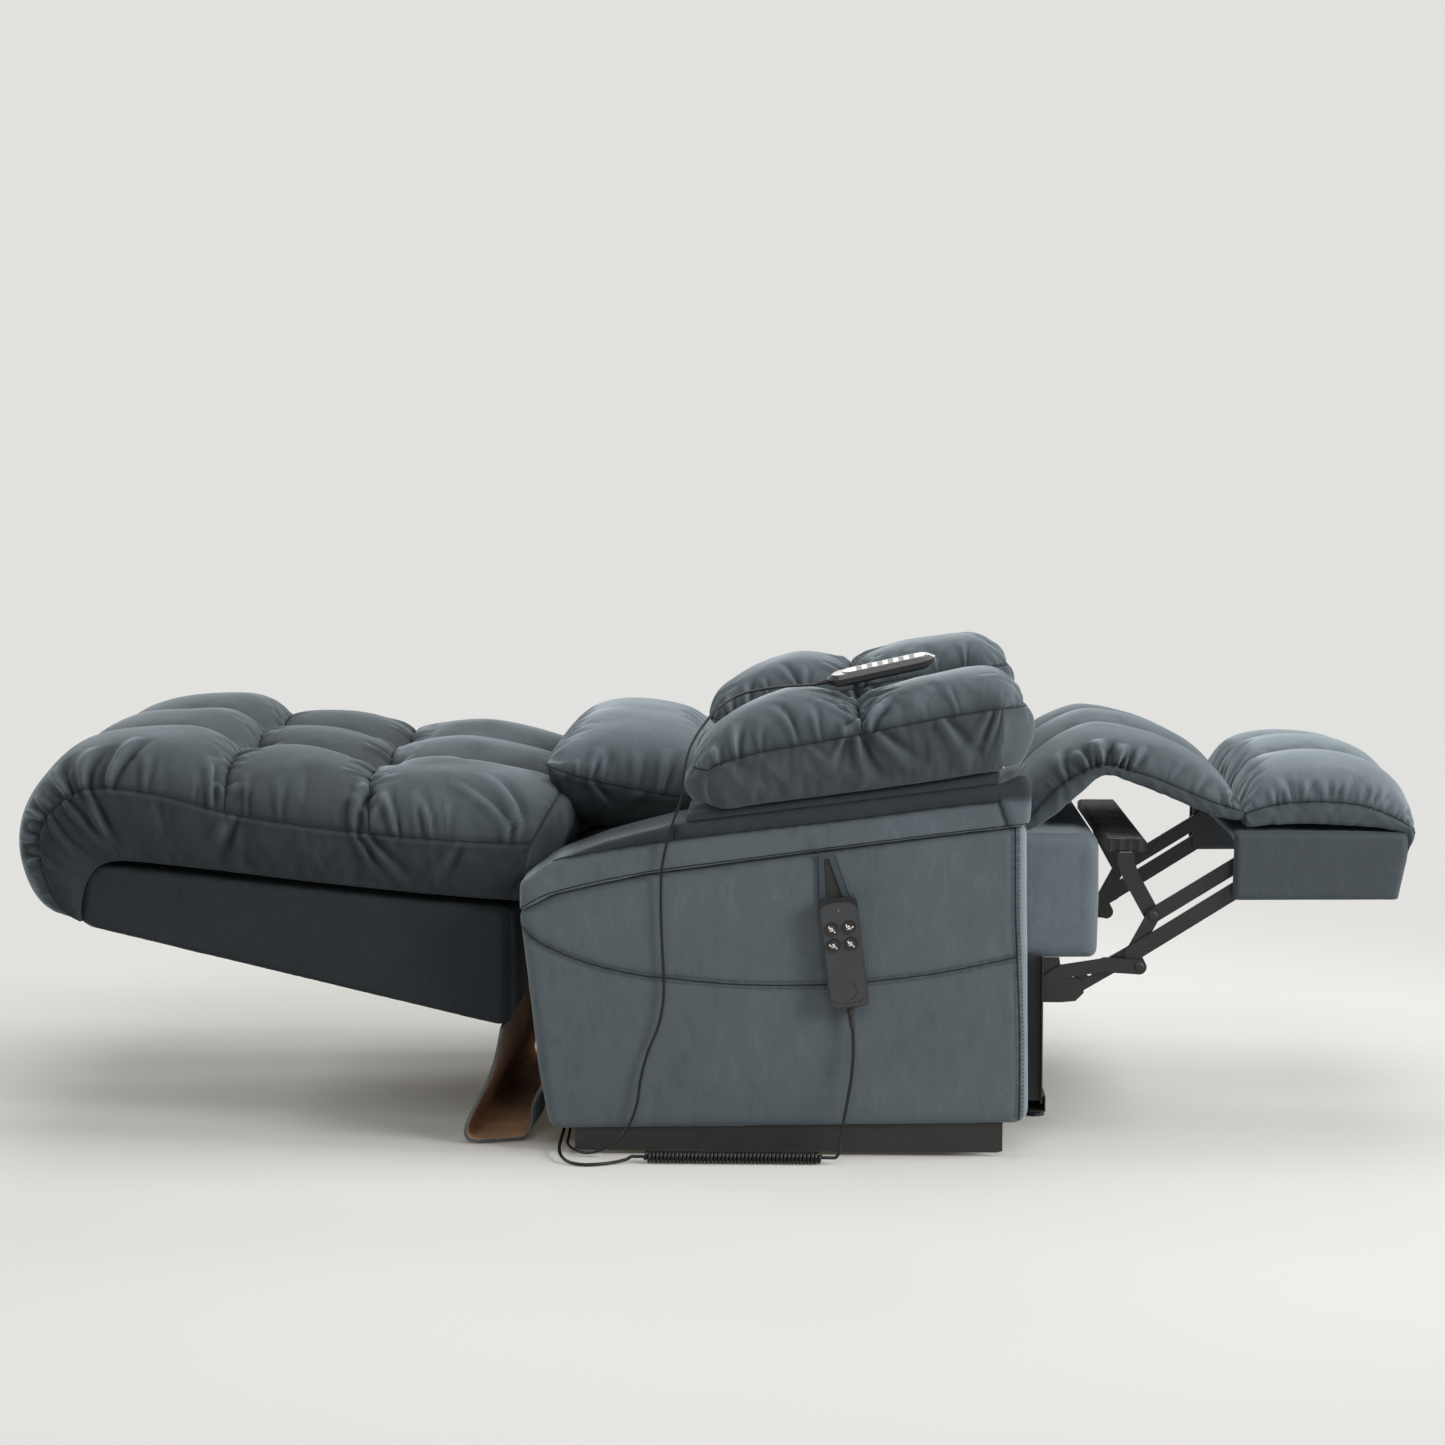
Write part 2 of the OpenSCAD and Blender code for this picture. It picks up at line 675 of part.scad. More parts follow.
remote_reach = remote_end + remote_relief_l;
remote_lift = remote_t / 2;
remote_exit = remote_at + [-remote_reach * cos(remote_tilt) - remote_lift * cos(remote_roll) *
    sin(remote_tilt),
    -remote_lift * sin(remote_roll), -remote_reach * sin(remote_tilt) + remote_lift * cos(remote_roll)
    * cos(remote_tilt)];
remote_route = [remote_exit, remote_exit + [-8, 0, -1.8], [105, -400, 662], [70, -402, 658], [36, -405,
    650],
    [8, -420, 634], [-14, -436, 610], [-32, -450, 580], [-40, -455, 545], [-44, -453, 510], [-56, -447,
    475],
    [-66, -443, 440], [-72, -441, 405], [-73, -440, 350], [-71, -440, 295], [-69, -440, 250], [-71,
    -440, 215],
    [-78, -440, 185], [-92, -440, 150], [-102, -440, 112], [-107, -440, 78], [-118, -441, 48], [-135,
    -443, 24],
    [-156, -444, 12], [-178, -438, 6], [-196, -420, 6], [-208, -392, 8], [-210, -350, 10], [-208, -300, 22],
    [-196, -268, 40], [-172, -246, 62], [gland_remote[0], -234, gland_remote[1]],
    [gland_remote[0], control_low[1] - gland_l, gland_remote[1]]];
module remote_cord() {
    color("#141415") tube(spline(remote_route, 1), thin_cord_d, 8, [0, 1, 0]);
}

// ---- Seat carriage ----

seat_back = -196;
seat_front = 552;
rail_out = 258;
rail_in = 230;
roller_r = 9;
roller_z = 210;
roller_x = [-60, 330];
module seat_rails() {
    color("#26272a") both_sides() {
        difference() {
            block([seat_back, rail_in, seat_z], [431, rail_out, frame_top_z]);
            block([seat_back - 1, rail_in + 3, seat_z + 4], [432, rail_out + 1, frame_top_z - 4]);
            pin(back_pivot, rail_in - 1, rail_out + 1, lift_pin_r + rivet_clear);
        }
        for (x = roller_x) block([x - 16, rail_out - 6, roller_z - 14], [x + 16, rail_out, seat_z]);
    }
}

module seat_rollers() {
    color("#d8d8d2") both_sides() for (x = roller_x)
        pin([x, roller_z], rail_out, plate_in + plate_t + 2, roller_r);
}

rear_rail_x = -120;
mid_rail_x = 220;
module seat_rear_rail() {
    color("#26272a") {
        block([rear_rail_x, -rail_in, seat_z + 2], [rear_rail_x + cross_w, rail_in, seat_z + 28]);
        block([mid_rail_x, -rail_in, seat_z - 18], [mid_rail_x + 24, rail_in, seat_z + 14]);
    }
}

// The upholstered front of the seat, which stands out between the arms
module seat_front_block() {
    r = 9;
    outline = [[431, seat_z], [seat_front - 8, seat_z + 1], [seat_front - 2, seat_z + 8], [seat_front,
        seat_z + 90],
        [seat_front - 1, 425], [seat_front - 7, 434], [seat_front - 30, 438], [431, 438]];
    mid = [490, 340];
    color("#5f6d73") hull() {
        slab([for (p = outline) p], -seat_half + r, seat_half - r);
        slab([for (p = outline) p - r * unit(p - mid)], -seat_half, seat_half);
    }
}

// Zigzag springs between the front and rear of the seat frame
spring_pitch = 44;
spring_loop = 26;
module seat_springs() {
    color("#5a5c60") for (k = [0:1:spring_count - 1])
        translate([0, (k - (spring_count - 1) / 2) * 86, seat_z + 20]) zigzag();
}

// The bends of one spring, and its outline at half a wire's width to either side
spring_first = rear_rail_x + cross_w;
spring_last = 431;
spring_bends = 2 * floor((spring_last - spring_first) / spring_pitch) - 1;
spring_step = (spring_last - spring_first) / (spring_bends + 1);
spring_path = concat([[spring_first, 0], [spring_first + spring_step, 0]],
    [for (i = [0:1:spring_bends - 2], k = [0, 1])
        [spring_first + spring_step * (i + 1 + k), (i % 2 == 0 ? 1 : -1) * spring_loop]],
    [[spring_last - spring_step, 0], [spring_last, 0]]);
function across_at(p, i) = let (t = unit(p[i + 1] - p[i])) [-t[1], t[0]];
function edge_point(p, i, d) = p[i] + d * (i == 0 ? across_at(p, 0) : i == len(p) - 1 ? across_at(p, i - 1)
    : across_at(p, i - 1) + across_at(p, i) * (across_at(p, i - 1) == across_at(p, i) ? 0 : 1));
module zigzag() {
    line = spring_path;
    linear_extrude(spring_wire) polygon(concat(
        [for (i = [0:1:len(line) - 1]) edge_point(line, i, spring_wire / 2)],
        [for (i = [len(line) - 1:-1:0]) edge_point(line, i, -spring_wire / 2)]));
}

seat_rear = -150;
module seat_cushion() {
    z = frame_top_z + gap;
    color("#5f6d73") cushion([[seat_rear, 396], [-60, 402], [100, 410], [300, 420], [428, 428]],
        [[seat_rear, z], [-60, z], [100, z], [300, z], [428, z]], [0, 22, 19, 32, 0], 12, plain_across,
        seat_half - 3, seat_half - 10, [], 1, [], [0, 0], 0);
}

// The pad that bridges the seat and the footrest
chaise_seam = [[438, 450], [462, 470], [510, 503], [548, 530], [568, 536], [590, 532], [636, 512],
    [690, 488],
    [740, 470], [762, 467]];
chaise_base = [[444, 438.3], [468, 447], [512, 480], [548, 514], [568, 519], [590, 512], [636, 494],
    [690, 471],
    [740, 456], [760, 459]];
chaise_crowns = foot_crown * [0, 30, 52, 62, 64, 62, 58, 44, 24, 0];
module chaise_pad() {
    color("#65747a") cushion(chaise_seam, chaise_base, chaise_crowns, 18, three_across, seat_half - 4,
        seat_half - 8, [], 1, three_cols, [0, 0.3], 0);
}

// ---- Footrest linkage ----

module footrest_brackets() {
    y = layer_y(1);
    color("#1b1c1e") both_sides() {
        difference() {
            slab([[400, seat_z - gap], [400, 222], [430, 190], [500, 190], [520, 192], [532, 204],
                [530, 222],
                [500, 232], [496, seat_z - gap]], y, y + link_t);
            pin(p_second, y - 1, y + link_t + 1, rivet_r + rivet_clear);
        }
        pin(p_rear, layer_y(2) - 2, y + 0.5, rivet_r);
        slab([[400, seat_z - 6], [430, seat_z - 6], [430, seat_z - gap], [400, seat_z - gap]], rail_in,
            y + 0.5);
    }
}

module rear_links() {
    color("#1b1c1e") both_sides() {
        link_plate(2, [[p_rear[0], p_rear[1], rivet_r + rivet_clear], [540, 232, 4]]) {
            link_outline(p_rear, p_elbow, link_w);
            link_outline(p_elbow, p_upper, link_w - 4);
            link_outline(p_elbow, p_elbow + unit(p_elbow - p_rear) * 22, link_w - 2);
            polygon([p_elbow, p_upper, p_elbow + unit(p_elbow - p_rear) * 22]);
        }
        pin(p_elbow, layer_y(2) + link_t - 0.5, layer_y(1) + link_t + 0.2, rivet_r);
        pin(p_upper, layer_y(4) - 2, layer_y(2) + 0.5, rivet_r);
    }
}

module second_rear_links() {
    color("#1b1c1e") both_sides() {
        link_plate(0, []) {
            link_outline(p_second, [500, 236], link_w - 4);
            link_outline([500, 236], [562, 246], link_w - 4);
            link_outline([562, 246], p_tail, link_w - 2);
        }
        pin(p_second, layer_y(1) - 2, layer_y(0) + 0.5, rivet_r);
    }
}

module front_links() {
    color("#1b1c1e") both_sides()
        link_plate(1, [[p_elbow[0], p_elbow[1], rivet_r + rivet_clear], [p_foot[0], p_foot[1],
            rivet_r + rivet_clear]]) {
            link_outline(p_elbow, p_foot, link_w);
            link_outline(p_elbow, p_tail, link_w - 2);
        }
}

module upper_links() {
    color("#1b1c1e") both_sides()
        link_plate(3, [[p_upper[0], p_upper[1], rivet_r + rivet_clear], [p_foot_upper[0],
            p_foot_upper[1], rivet_r + open_clear]])
            link_outline(p_upper, p_foot_upper, link_w - 2);
}

flip_low = [562, 408];
flip_high = [622, 427];
module flipper_arms() {
    color("#1b1c1e") both_sides()
        link_plate(4, [[p_upper[0], p_upper[1], rivet_r + rivet_clear]]) {
            link_outline(p_upper, [600, 372], link_w);
            link_outline([600, 372], [592, flip_low[1] - 13], link_w);
            translate([592 - 12, 388]) square([24, flip_low[1] - 388 - gap]);
        }
}

module flipper_pad() {
    y = layer_y(4) + link_t;
    r = 4;
    color("#121213") hull() {
        block([flip_low[0], -y, flip_low[1] + r], [flip_high[0], y, flip_high[1] - r]);
        block([flip_low[0] + r, -y + r, flip_low[1]], [flip_high[0] - r, y - r, flip_high[1]]);
    }
}

// ---- Footrest ----

foot_rear = 742;
foot_front = 996;
foot_low = 342;
foot_top = foot_low + box_h;
module footrest_box() {
    half = 275;
    r = 6;
    color("#5f6d73") difference() {
        hull() {
            slab([[foot_rear, foot_low + 4], [foot_rear + 4, foot_low], [foot_front - 16, foot_low + 2],
                [foot_front - 4, foot_low + 60], [foot_front, foot_low + 84], [foot_front - 4, foot_top],
                [foot_rear + 2, foot_top]], -half + r, half - r);
            slab([[foot_rear + 6, foot_low + 6], [foot_front - 20, foot_low + 8], [foot_front - 10,
                foot_low + 60],
                [foot_front - 10, foot_top - 6], [foot_rear + 6, foot_top - 6]], -half, half);
        }
        block([foot_rear - 1, -half + box_wall + 0.5, foot_low - 1], [foot_front - 34,
            half - box_wall - 0.5, foot_top - box_wall]);
        // Recesses in the front board for the ends of the folded links
        both_sides() slab([[foot_front - 35, foot_low - 1], [foot_front - 21.5, foot_low - 1],
            [foot_front - 17.5, foot_low + 16], [foot_front - 14, foot_low + 34], [foot_front - 10.5,
            foot_low + 54],
            [foot_front - 10.5, foot_low + 76], [foot_front - 35, foot_low + 84]], 234, 256);
    }
}

// Steel plates under the footrest board that carry the links
module footrest_plates() {
    y = layer_y(2);
    color("#1b1c1e") both_sides() {
        slab([[p_foot[0] - 13, p_foot[1] - 12], [p_foot[0] + 14, p_foot[1] - 12],
            [p_foot_upper[0] + 15, p_foot_upper[1] - 14],
            [p_foot_upper[0] + 15, foot_top - box_wall - gap], [p_foot[0] - 13,
            foot_top - box_wall - gap]], y, y + link_t);
        slab([[p_foot[0] - 13, foot_top - box_wall - 4], [p_foot_upper[0] + 100, foot_top - box_wall - 4],
            [p_foot_upper[0] + 100, foot_top - box_wall - gap], [p_foot[0] - 13,
            foot_top - box_wall - gap]], y - 26, y + link_t);
        pin(p_foot, y + link_t - 0.5, layer_y(1) + link_t + 2, rivet_r);
        pin(p_foot_upper, layer_y(3) - 2, y + 0.5, rivet_r);
    }
}

foot_seam = [[764, 463], [790, 474], [830, 480], [880, 480], [936, 474], [975, 462], [998, 446], [1006,
    424]];
foot_crowns = foot_crown * [0, 56, 68, 68, 64, 54, 24, 0];
foot_base = [[766, foot_top + gap], [800, foot_top + gap], [840, foot_top + gap], [880, foot_top + gap],
    [920, foot_top + gap], [960, foot_top + gap], [996.8, foot_top + gap], [997.5, 430]];
module footrest_pad() {
    color("#65747a") cushion(foot_seam, foot_base, foot_crowns, 16, three_across, seat_half, seat_half - 2,
        [], 1, three_cols, [0, 0.22], 0);
}

// ---- Backrest ----

module back_shell() {
    outline = [[-920, 318], [-910, 384], [-888, 397], [-302, 337], [-294, 330], [-294, 174], [-304,
        164], [-902, 306]];
    mid = [-600, 300];
    r = 12;
    color("#46545b") hull() {
        slab(outline, -shell_half + r, shell_half - r);
        slab([for (p = outline) p - r * unit(p - mid)], -shell_half, shell_half);
    }
}

// Slotted lever that the recline rod pushes, and the plates that carry the back
recline_y = 43;
recline_z = 226;
lever_turn = 35;
lever_dir = [sin(lever_turn), -cos(lever_turn)];
recline_pin = back_pivot + (back_pivot[1] - recline_z) / cos(lever_turn) * lever_dir;
hinge_y = 219;
module back_hinges() {
    color("#1d1e20") {
        both_sides() {
            slab([[-294, 320], [-294, 190], [-284, 190], [-270, 260], [-180, 284], [-160, 290], [-156, 306],
                [-164, 316], [-190, 318], [-270, 322]], hinge_y, hinge_y + 5);
            pin(back_pivot, hinge_y + 4.5, rail_out - 8, lift_pin_r);
        }
        pin(back_pivot, -hinge_y - 0.5, hinge_y + 0.5, 12);
        for (side = [-1, 1]) translate([0, recline_y + side * 6.5 + 2.5, 0]) rotate([90, 0,
            0]) linear_extrude(5)
            difference() {
                link_outline(back_pivot, back_pivot + 94 * lever_dir, 32);
                translate(back_pivot) rotate(lever_turn - 90) translate([73, -7.9]) square([21, 15.8]);
                translate(back_pivot + 73 * lever_dir) circle(r = 7.8);
                translate(back_pivot + 94 * lever_dir) circle(r = 7.8);
            }
    }
}

back_seam = [[-897, 334], [-925, 350], [-944, 395], [-944, 445], [-922, 485], [-872, 509], [-770, 492],
    [-640, 467],
    [-510, 448], [-390, 436], [-310, 431], [-276, 424]];
back_base = [[-897, 328], [-921, 336], [-921, 360], [-918, 382], [-905, 396], [-880, 398], [-770,
    388.5], [-640, 374.7],
    [-510, 360.8], [-390, 348.2], [-310, 340], [-284, 344]];
back_crowns = back_crown * [0, 34, 54, 60, 68, 80, 92, 90, 98, 106, 102, 78];
back_rows = [0.606, 0.758];
module back_cushion() {
    color("#5f6d73") cushion(back_seam, back_base, back_crowns, 33, three_across, back_half, back_half - 8,
        back_rows, 0.035, three_cols, [0.4, 0.36], 0.03);
}

// The flap that hangs from the shell, folds on the floor and goes back under the chair
flap_line = spline([[-308, 164.2], [-330, 118], [-350, 66], [-356, 36], [-348, 14], [-328, 4.8], [-300,
    4.2], [-276, 10],
    [-263, 34], [-253, 62], [-240.8, 92]], 2);
function beside(line, i, d) = let (t = unit(line[min(i + 1, len(line) - 1)] - line[max(i - 1, 0)]))
    line[i] + d * [-t[1], t[0]];
module rear_flap() {
    n = len(flap_line);
    color("#5f6d73") difference() {
        slab(concat([for (i = [0:1:n - 1]) beside(flap_line, i, flap_t / 2)],
            [for (i = [n - 1:-1:0]) beside(flap_line, i, -flap_t / 2)]), -flap_half, flap_half);
        both_sides() block([-248, arm_inner - 2, 70], [-230, flap_half + 1, 100]);
    }
}

module lumbar_pillow() {
    color("#66757b") cushion([[-250, 530], [-215, 524], [-150, 508], [-80, 492], [-26, 486]],
        [[-238, 478], [-205, 448], [-140, 424.6], [-84, 422.5], [-36, 427.4]], [0, 78, 108, 78, 0], 12,
        plain_across,
        250, 225, [], 1, [], [0, 0], 0);
}

// ---- Recline drive ----

module recline_motor() {
    color("#2a2b2d") {
        difference() {
            translate([-20, recline_y, recline_z]) rotate([0, 90, 0]) cylinder(h = 202, r = 18);
            translate([-21, recline_y, recline_z]) rotate([0, 90, 0]) cylinder(h = 181,
                r = 9 + slide_clear);
        }
        translate([180, recline_y, recline_z]) rotate([0, 90, 0]) cylinder(h = mid_rail_x - 180, r = 24);
    }
}

module recline_rod() {
    color("#c9cbcd") {
        translate([-88, recline_y, recline_z]) rotate([0, 90, 0]) cylinder(h = 230, r = 9);
        block([recline_pin[0] - 9, recline_y - 3.6, recline_z - 8], [-87, recline_y + 3.6, recline_z + 8]);
        pin(recline_pin, recline_y - 9, recline_y + 9, rivet_r);
    }
}

base_rails();
base_front_beam();
base_rear_beam();
base_feet();
lift_motor();
lift_arms();
torque_tube();
lift_rod();
arm_right();
arm_left();
arm_bands();
arm_decks();
arm_pad_right();
arm_pad_left();
chassis_plates();
chassis_cross_front();
chassis_cross_rear();
front_posts();
control_box();
cord_glands();
mains_inlet();
handset_strap();
handset_case();
handset_rim();
handset_relief();
button_back_up();
button_back_down();
button_legs_up();
button_legs_down();
handset_cord_drop();
handset_cord_coil();
handset_cord_tail();
remote_case();
remote_keypad();
remote_relief();
remote_cord();
seat_rails();
seat_rear_rail();
seat_front_block();
seat_springs();
seat_cushion();
seat_rollers();
chaise_pad();
footrest_brackets();
recline_motor();
recline_rod();
back_shell();
back_hinges();
back_cushion();
rear_flap();
lumbar_pillow();
rear_links();
second_rear_links();
front_links();
upper_links();
flipper_arms();
flipper_pad();
footrest_box();
footrest_plates();
footrest_pad();
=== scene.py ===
"""Power lift recliner in slate velvet, laid flat: upholstery, steelwork, handsets and studio."""
import math

import bmesh
import bpy
import numpy as np
from mathutils import Matrix, Vector
from mathutils.bvhtree import BVHTree


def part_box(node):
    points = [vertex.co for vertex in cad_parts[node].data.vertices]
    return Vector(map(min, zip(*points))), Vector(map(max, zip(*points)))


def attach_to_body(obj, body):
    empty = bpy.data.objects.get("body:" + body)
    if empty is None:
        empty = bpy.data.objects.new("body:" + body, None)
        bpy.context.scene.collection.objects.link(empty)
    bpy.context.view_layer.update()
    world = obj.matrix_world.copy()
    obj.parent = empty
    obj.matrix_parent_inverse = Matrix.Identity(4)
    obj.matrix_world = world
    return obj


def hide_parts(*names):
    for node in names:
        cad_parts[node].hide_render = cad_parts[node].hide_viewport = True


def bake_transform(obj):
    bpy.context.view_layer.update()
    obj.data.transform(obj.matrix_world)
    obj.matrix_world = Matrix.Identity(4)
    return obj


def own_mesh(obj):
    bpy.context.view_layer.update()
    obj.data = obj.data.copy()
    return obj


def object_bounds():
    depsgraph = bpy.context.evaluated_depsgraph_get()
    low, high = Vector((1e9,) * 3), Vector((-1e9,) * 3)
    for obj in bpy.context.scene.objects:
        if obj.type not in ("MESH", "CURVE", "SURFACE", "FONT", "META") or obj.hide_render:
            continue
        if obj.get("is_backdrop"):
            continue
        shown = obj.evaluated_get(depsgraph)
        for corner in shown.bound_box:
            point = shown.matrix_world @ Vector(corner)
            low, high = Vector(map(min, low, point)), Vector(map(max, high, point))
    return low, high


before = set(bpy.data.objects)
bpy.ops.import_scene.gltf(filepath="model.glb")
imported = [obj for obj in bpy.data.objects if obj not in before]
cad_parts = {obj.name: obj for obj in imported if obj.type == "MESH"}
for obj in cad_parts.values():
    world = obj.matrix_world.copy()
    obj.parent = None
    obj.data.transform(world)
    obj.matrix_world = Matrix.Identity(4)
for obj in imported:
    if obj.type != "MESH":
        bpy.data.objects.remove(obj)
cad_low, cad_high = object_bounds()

scene = bpy.context.scene


# ---- camera

SENSOR, FOCAL_PIXELS, FRAME_PIXELS = 36.0, 3142.6, 1445
CAMERA_AT = (0.138, -4.7692, 1.0359)
CAMERA_AIM = (-0.0289, 1.0, -0.0973)


def place_camera():
    lens = bpy.data.cameras.new("studio_camera")
    lens.sensor_width = SENSOR
    lens.lens = SENSOR * FOCAL_PIXELS / FRAME_PIXELS
    camera = bpy.data.objects.new("studio_camera", lens)
    scene.collection.objects.link(camera)
    camera.location = CAMERA_AT
    camera.rotation_euler = Vector(CAMERA_AIM).to_track_quat("-Z", "Y").to_euler()
    scene.camera = camera


place_camera()


# ---- helpers

def bend(a, b, c, d, t):
    """The point at share t from b to c, on the smooth line through all four."""
    return 0.5 * (2 * b + (c - a) * t + (2 * a - 5 * b + 4 * c - d) * t * t + (3 * b - a - 3 * c + d) * t ** 3)


def smooth(points, steps):
    """A smooth line through control points, with that many steps between each pair."""
    p = [np.array(q, float) for q in points]
    line = []
    for i in range(len(p) - 1):
        near = p[max(i - 1, 0)], p[i], p[i + 1], p[min(i + 2, len(p) - 1)]
        line += [bend(*near, k / steps) for k in range(steps)]
    return [tuple(q) for q in (*line, p[-1])]


def along(points, t):
    """The points at the shares t of a line through control points."""
    p = np.array(points, float)
    if p.ndim == 1:
        p = p[:, None]
    last = len(p) - 1
    s = np.clip(np.asarray(t, float), 0, 1) * last
    i = np.minimum(s.astype(int), last - 1)
    q = bend(p[np.maximum(i - 1, 0)], p[i], p[i + 1], p[np.minimum(i + 2, last)], (s - i)[:, None])
    return q[:, 0] if q.shape[1] == 1 else q


def line_length(points):
    return sum((Vector(b) - Vector(a)).length for a, b in zip(points, points[1:]))


def add_object(name, data, *materials):
    piece = bpy.data.objects.new(name, data)
    scene.collection.objects.link(piece)
    for material in materials:
        data.materials.append(material)
    return piece


def attach(piece, body, slot):
    """Rides a piece on its body; its slot is not used."""
    if body:
        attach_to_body(piece, body)
    return piece


def new_piece(name, bm, material, body=None, slot=None, flat=False):
    """A piece from a bmesh, smooth shaded unless it is flat."""
    mesh = bpy.data.meshes.new(name)
    bm.to_mesh(mesh)
    bm.free()
    piece = add_object(name, mesh, *(material if isinstance(material, list) else [material]))
    if not flat:
        mesh.shade_smooth()
    return attach(piece, body, slot)


def final_mesh(piece):
    """The piece's mesh with its modifiers or its curve worked out."""
    graph = bpy.context.evaluated_depsgraph_get()
    graph.update()
    return bpy.data.meshes.new_from_object(piece.evaluated_get(graph))


def apply_modifiers(piece):
    mesh, old = final_mesh(piece), piece.data
    piece.modifiers.clear()
    piece.data = mesh
    if old.users == 0:
        bpy.data.meshes.remove(old)
    mesh.name = piece.name


def read(items, key, width=1):
    """One value for each item, or one row of values."""
    values = np.empty(len(items) * width)
    items.foreach_get(key, values)
    return values.reshape(-1, width) if width > 1 else values


def coords(mesh):
    return read(mesh.vertices, "co", 3)


def normals(mesh):
    return read(mesh.vertices, "normal", 3)


def set_coords(mesh, co):
    mesh.vertices.foreach_set("co", np.ascontiguousarray(co, dtype=np.float32).ravel())
    mesh.update()


def solid_copy(node):
    """A merged copy of a CAD node's mesh."""
    bm = bmesh.new()
    bm.from_mesh(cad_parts[node].data)
    bmesh.ops.remove_doubles(bm, verts=bm.verts, dist=1e-5)
    bmesh.ops.dissolve_limit(bm, angle_limit=math.radians(0.5), verts=bm.verts, edges=bm.edges)
    bmesh.ops.recalc_face_normals(bm, faces=bm.faces)
    return bm


def slab(outline, low, high):
    """A flat piece with an outline in X and Z, from one Y to another."""
    bm = bmesh.new()
    face = bm.faces.new([bm.verts.new((x, low, z)) for x, z in outline])
    made = bmesh.ops.extrude_face_region(bm, geom=[face])["geom"]
    bmesh.ops.translate(bm, vec=(0, high - low, 0), verts=[v for v in made if isinstance(v, bmesh.types.BMVert)])
    bmesh.ops.recalc_face_normals(bm, faces=bm.faces)
    return bm


def round_edges(bm, radius, segments):
    """Bevels every edge that is sharper than 25 degrees."""
    edges = [e for e in bm.edges if len(e.link_faces) == 2 and e.calc_face_angle(0) > math.radians(25)]
    bmesh.ops.bevel(bm, geom=edges, offset=radius, offset_type="OFFSET", segments=segments, profile=0.5,
                    affect="EDGES", material=-1, clamp_overlap=True)


def round_curve(name, lines, radius, sides):
    curve = bpy.data.curves.new(name, "CURVE")
    curve.dimensions = "3D"
    curve.bevel_depth = radius
    curve.bevel_resolution = sides
    for line in lines:
        spline = curve.splines.new("POLY")
        spline.points.add(len(line) - 1)
        for point, p in zip(spline.points, line):
            point.co = (*p, 1)
    return curve


def tube(name, points, radius, material, body, slot):
    """A round cord along points, as a curve of one open spline."""
    curve = round_curve(name, [points], radius, 3)
    curve.use_fill_caps = True
    curve.splines[0].use_smooth = True
    return attach(add_object(name, curve, material), body, slot)


def thread(name, lines, radius, material, body, slot):
    """Sewn lines as one piece of fine round thread."""
    drawn = add_object(name, round_curve(name, lines, radius, 1), material)
    mesh = final_mesh(drawn)
    bpy.data.objects.remove(drawn)
    mesh.name = name
    mesh.shade_smooth()
    return attach(add_object(name, mesh), body, slot)


def noise_along(seed, s, scale):
    """A smooth random wave along s, from -1 to 1."""
    rng = np.random.default_rng(seed)
    total = np.zeros_like(s)
    for k in range(5):
        total += np.sin(s / scale * (0.7 + 0.55 * k) * 2 * math.pi + rng.uniform(0, 7)) / (1 + 0.5 * k)
    return total / 2.5


def add_layer(mesh, name, values):
    """Writes a value for each vertex, under a name that materials can read."""
    mark = mesh.attributes.get(name) or mesh.attributes.new(name, "FLOAT", "POINT")
    mark.data.foreach_set("value", np.ascontiguousarray(values, dtype=np.float32))


def even_layer(piece, name, value):
    add_layer(piece.data, name, np.full(len(piece.data.vertices), value))


def turned(bm, at):
    """Moves and turns a bmesh and points its faces outwards."""
    bmesh.ops.transform(bm, matrix=at, verts=bm.verts)
    bmesh.ops.recalc_face_normals(bm, faces=bm.faces)
    return bm


# ---- materials

def dial(node, **values):
    """Sets a node's own settings and its inputs by name."""
    for key, value in values.items():
        if hasattr(node, key):
            setattr(node, key, value)
        else:
            node.inputs[key.replace("_", " ")].default_value = value
    return node


def add(tree, kind, links=(), **values):
    node = dial(tree.nodes.new(kind), **values)
    for source, socket in links:
        tree.links.new(source, node.inputs[socket])
    return node


def maths(tree, operation, *values):
    """The outcome of a sum of sockets and numbers."""
    node = add(tree, "ShaderNodeMath", operation=operation)
    for value, socket in zip(values, node.inputs):
        if isinstance(value, float):
            socket.default_value = value
        else:
            tree.links.new(value, socket)
    return node.outputs[0]


def noise(tree, place, scale, detail, rough, **values):
    node = add(tree, "ShaderNodeTexNoise", [(place, "Vector")], Detail=detail, Roughness=rough, **values)
    if isinstance(scale, float):
        node.inputs["Scale"].default_value = scale
    else:
        tree.links.new(scale, node.inputs["Scale"])
    return node.outputs["Fac"]


def own_place(tree):
    return add(tree, "ShaderNodeTexCoord").outputs["Object"]


def empty_tree(owner):
    owner.use_nodes = True
    owner.node_tree.nodes.clear()
    return owner.node_tree


def shader(name):
    material = bpy.data.materials.new(name)
    tree = empty_tree(material)
    skin = add(tree, "ShaderNodeBsdfPrincipled")
    add(tree, "ShaderNodeOutputMaterial", [(skin.outputs["BSDF"], "Surface")])
    return material, tree, skin


def connect(tree, skin, **sources):
    for key, source in sources.items():
        tree.links.new(source, skin.inputs[key.replace("_", " ")])


def scaled(colour, factor):
    return tuple(c * factor for c in colour)


def ramp(tree, source, stops, ease="LINEAR"):
    node = add(tree, "ShaderNodeValToRGB", [(source, "Fac")])
    node.color_ramp.interpolation = ease
    while len(node.color_ramp.elements) < len(stops):
        node.color_ramp.elements.new(0.5)
    for element, (at, colour) in zip(node.color_ramp.elements, stops):
        element.position = at
        element.color = (*colour, 1)
    return node.outputs["Color"]


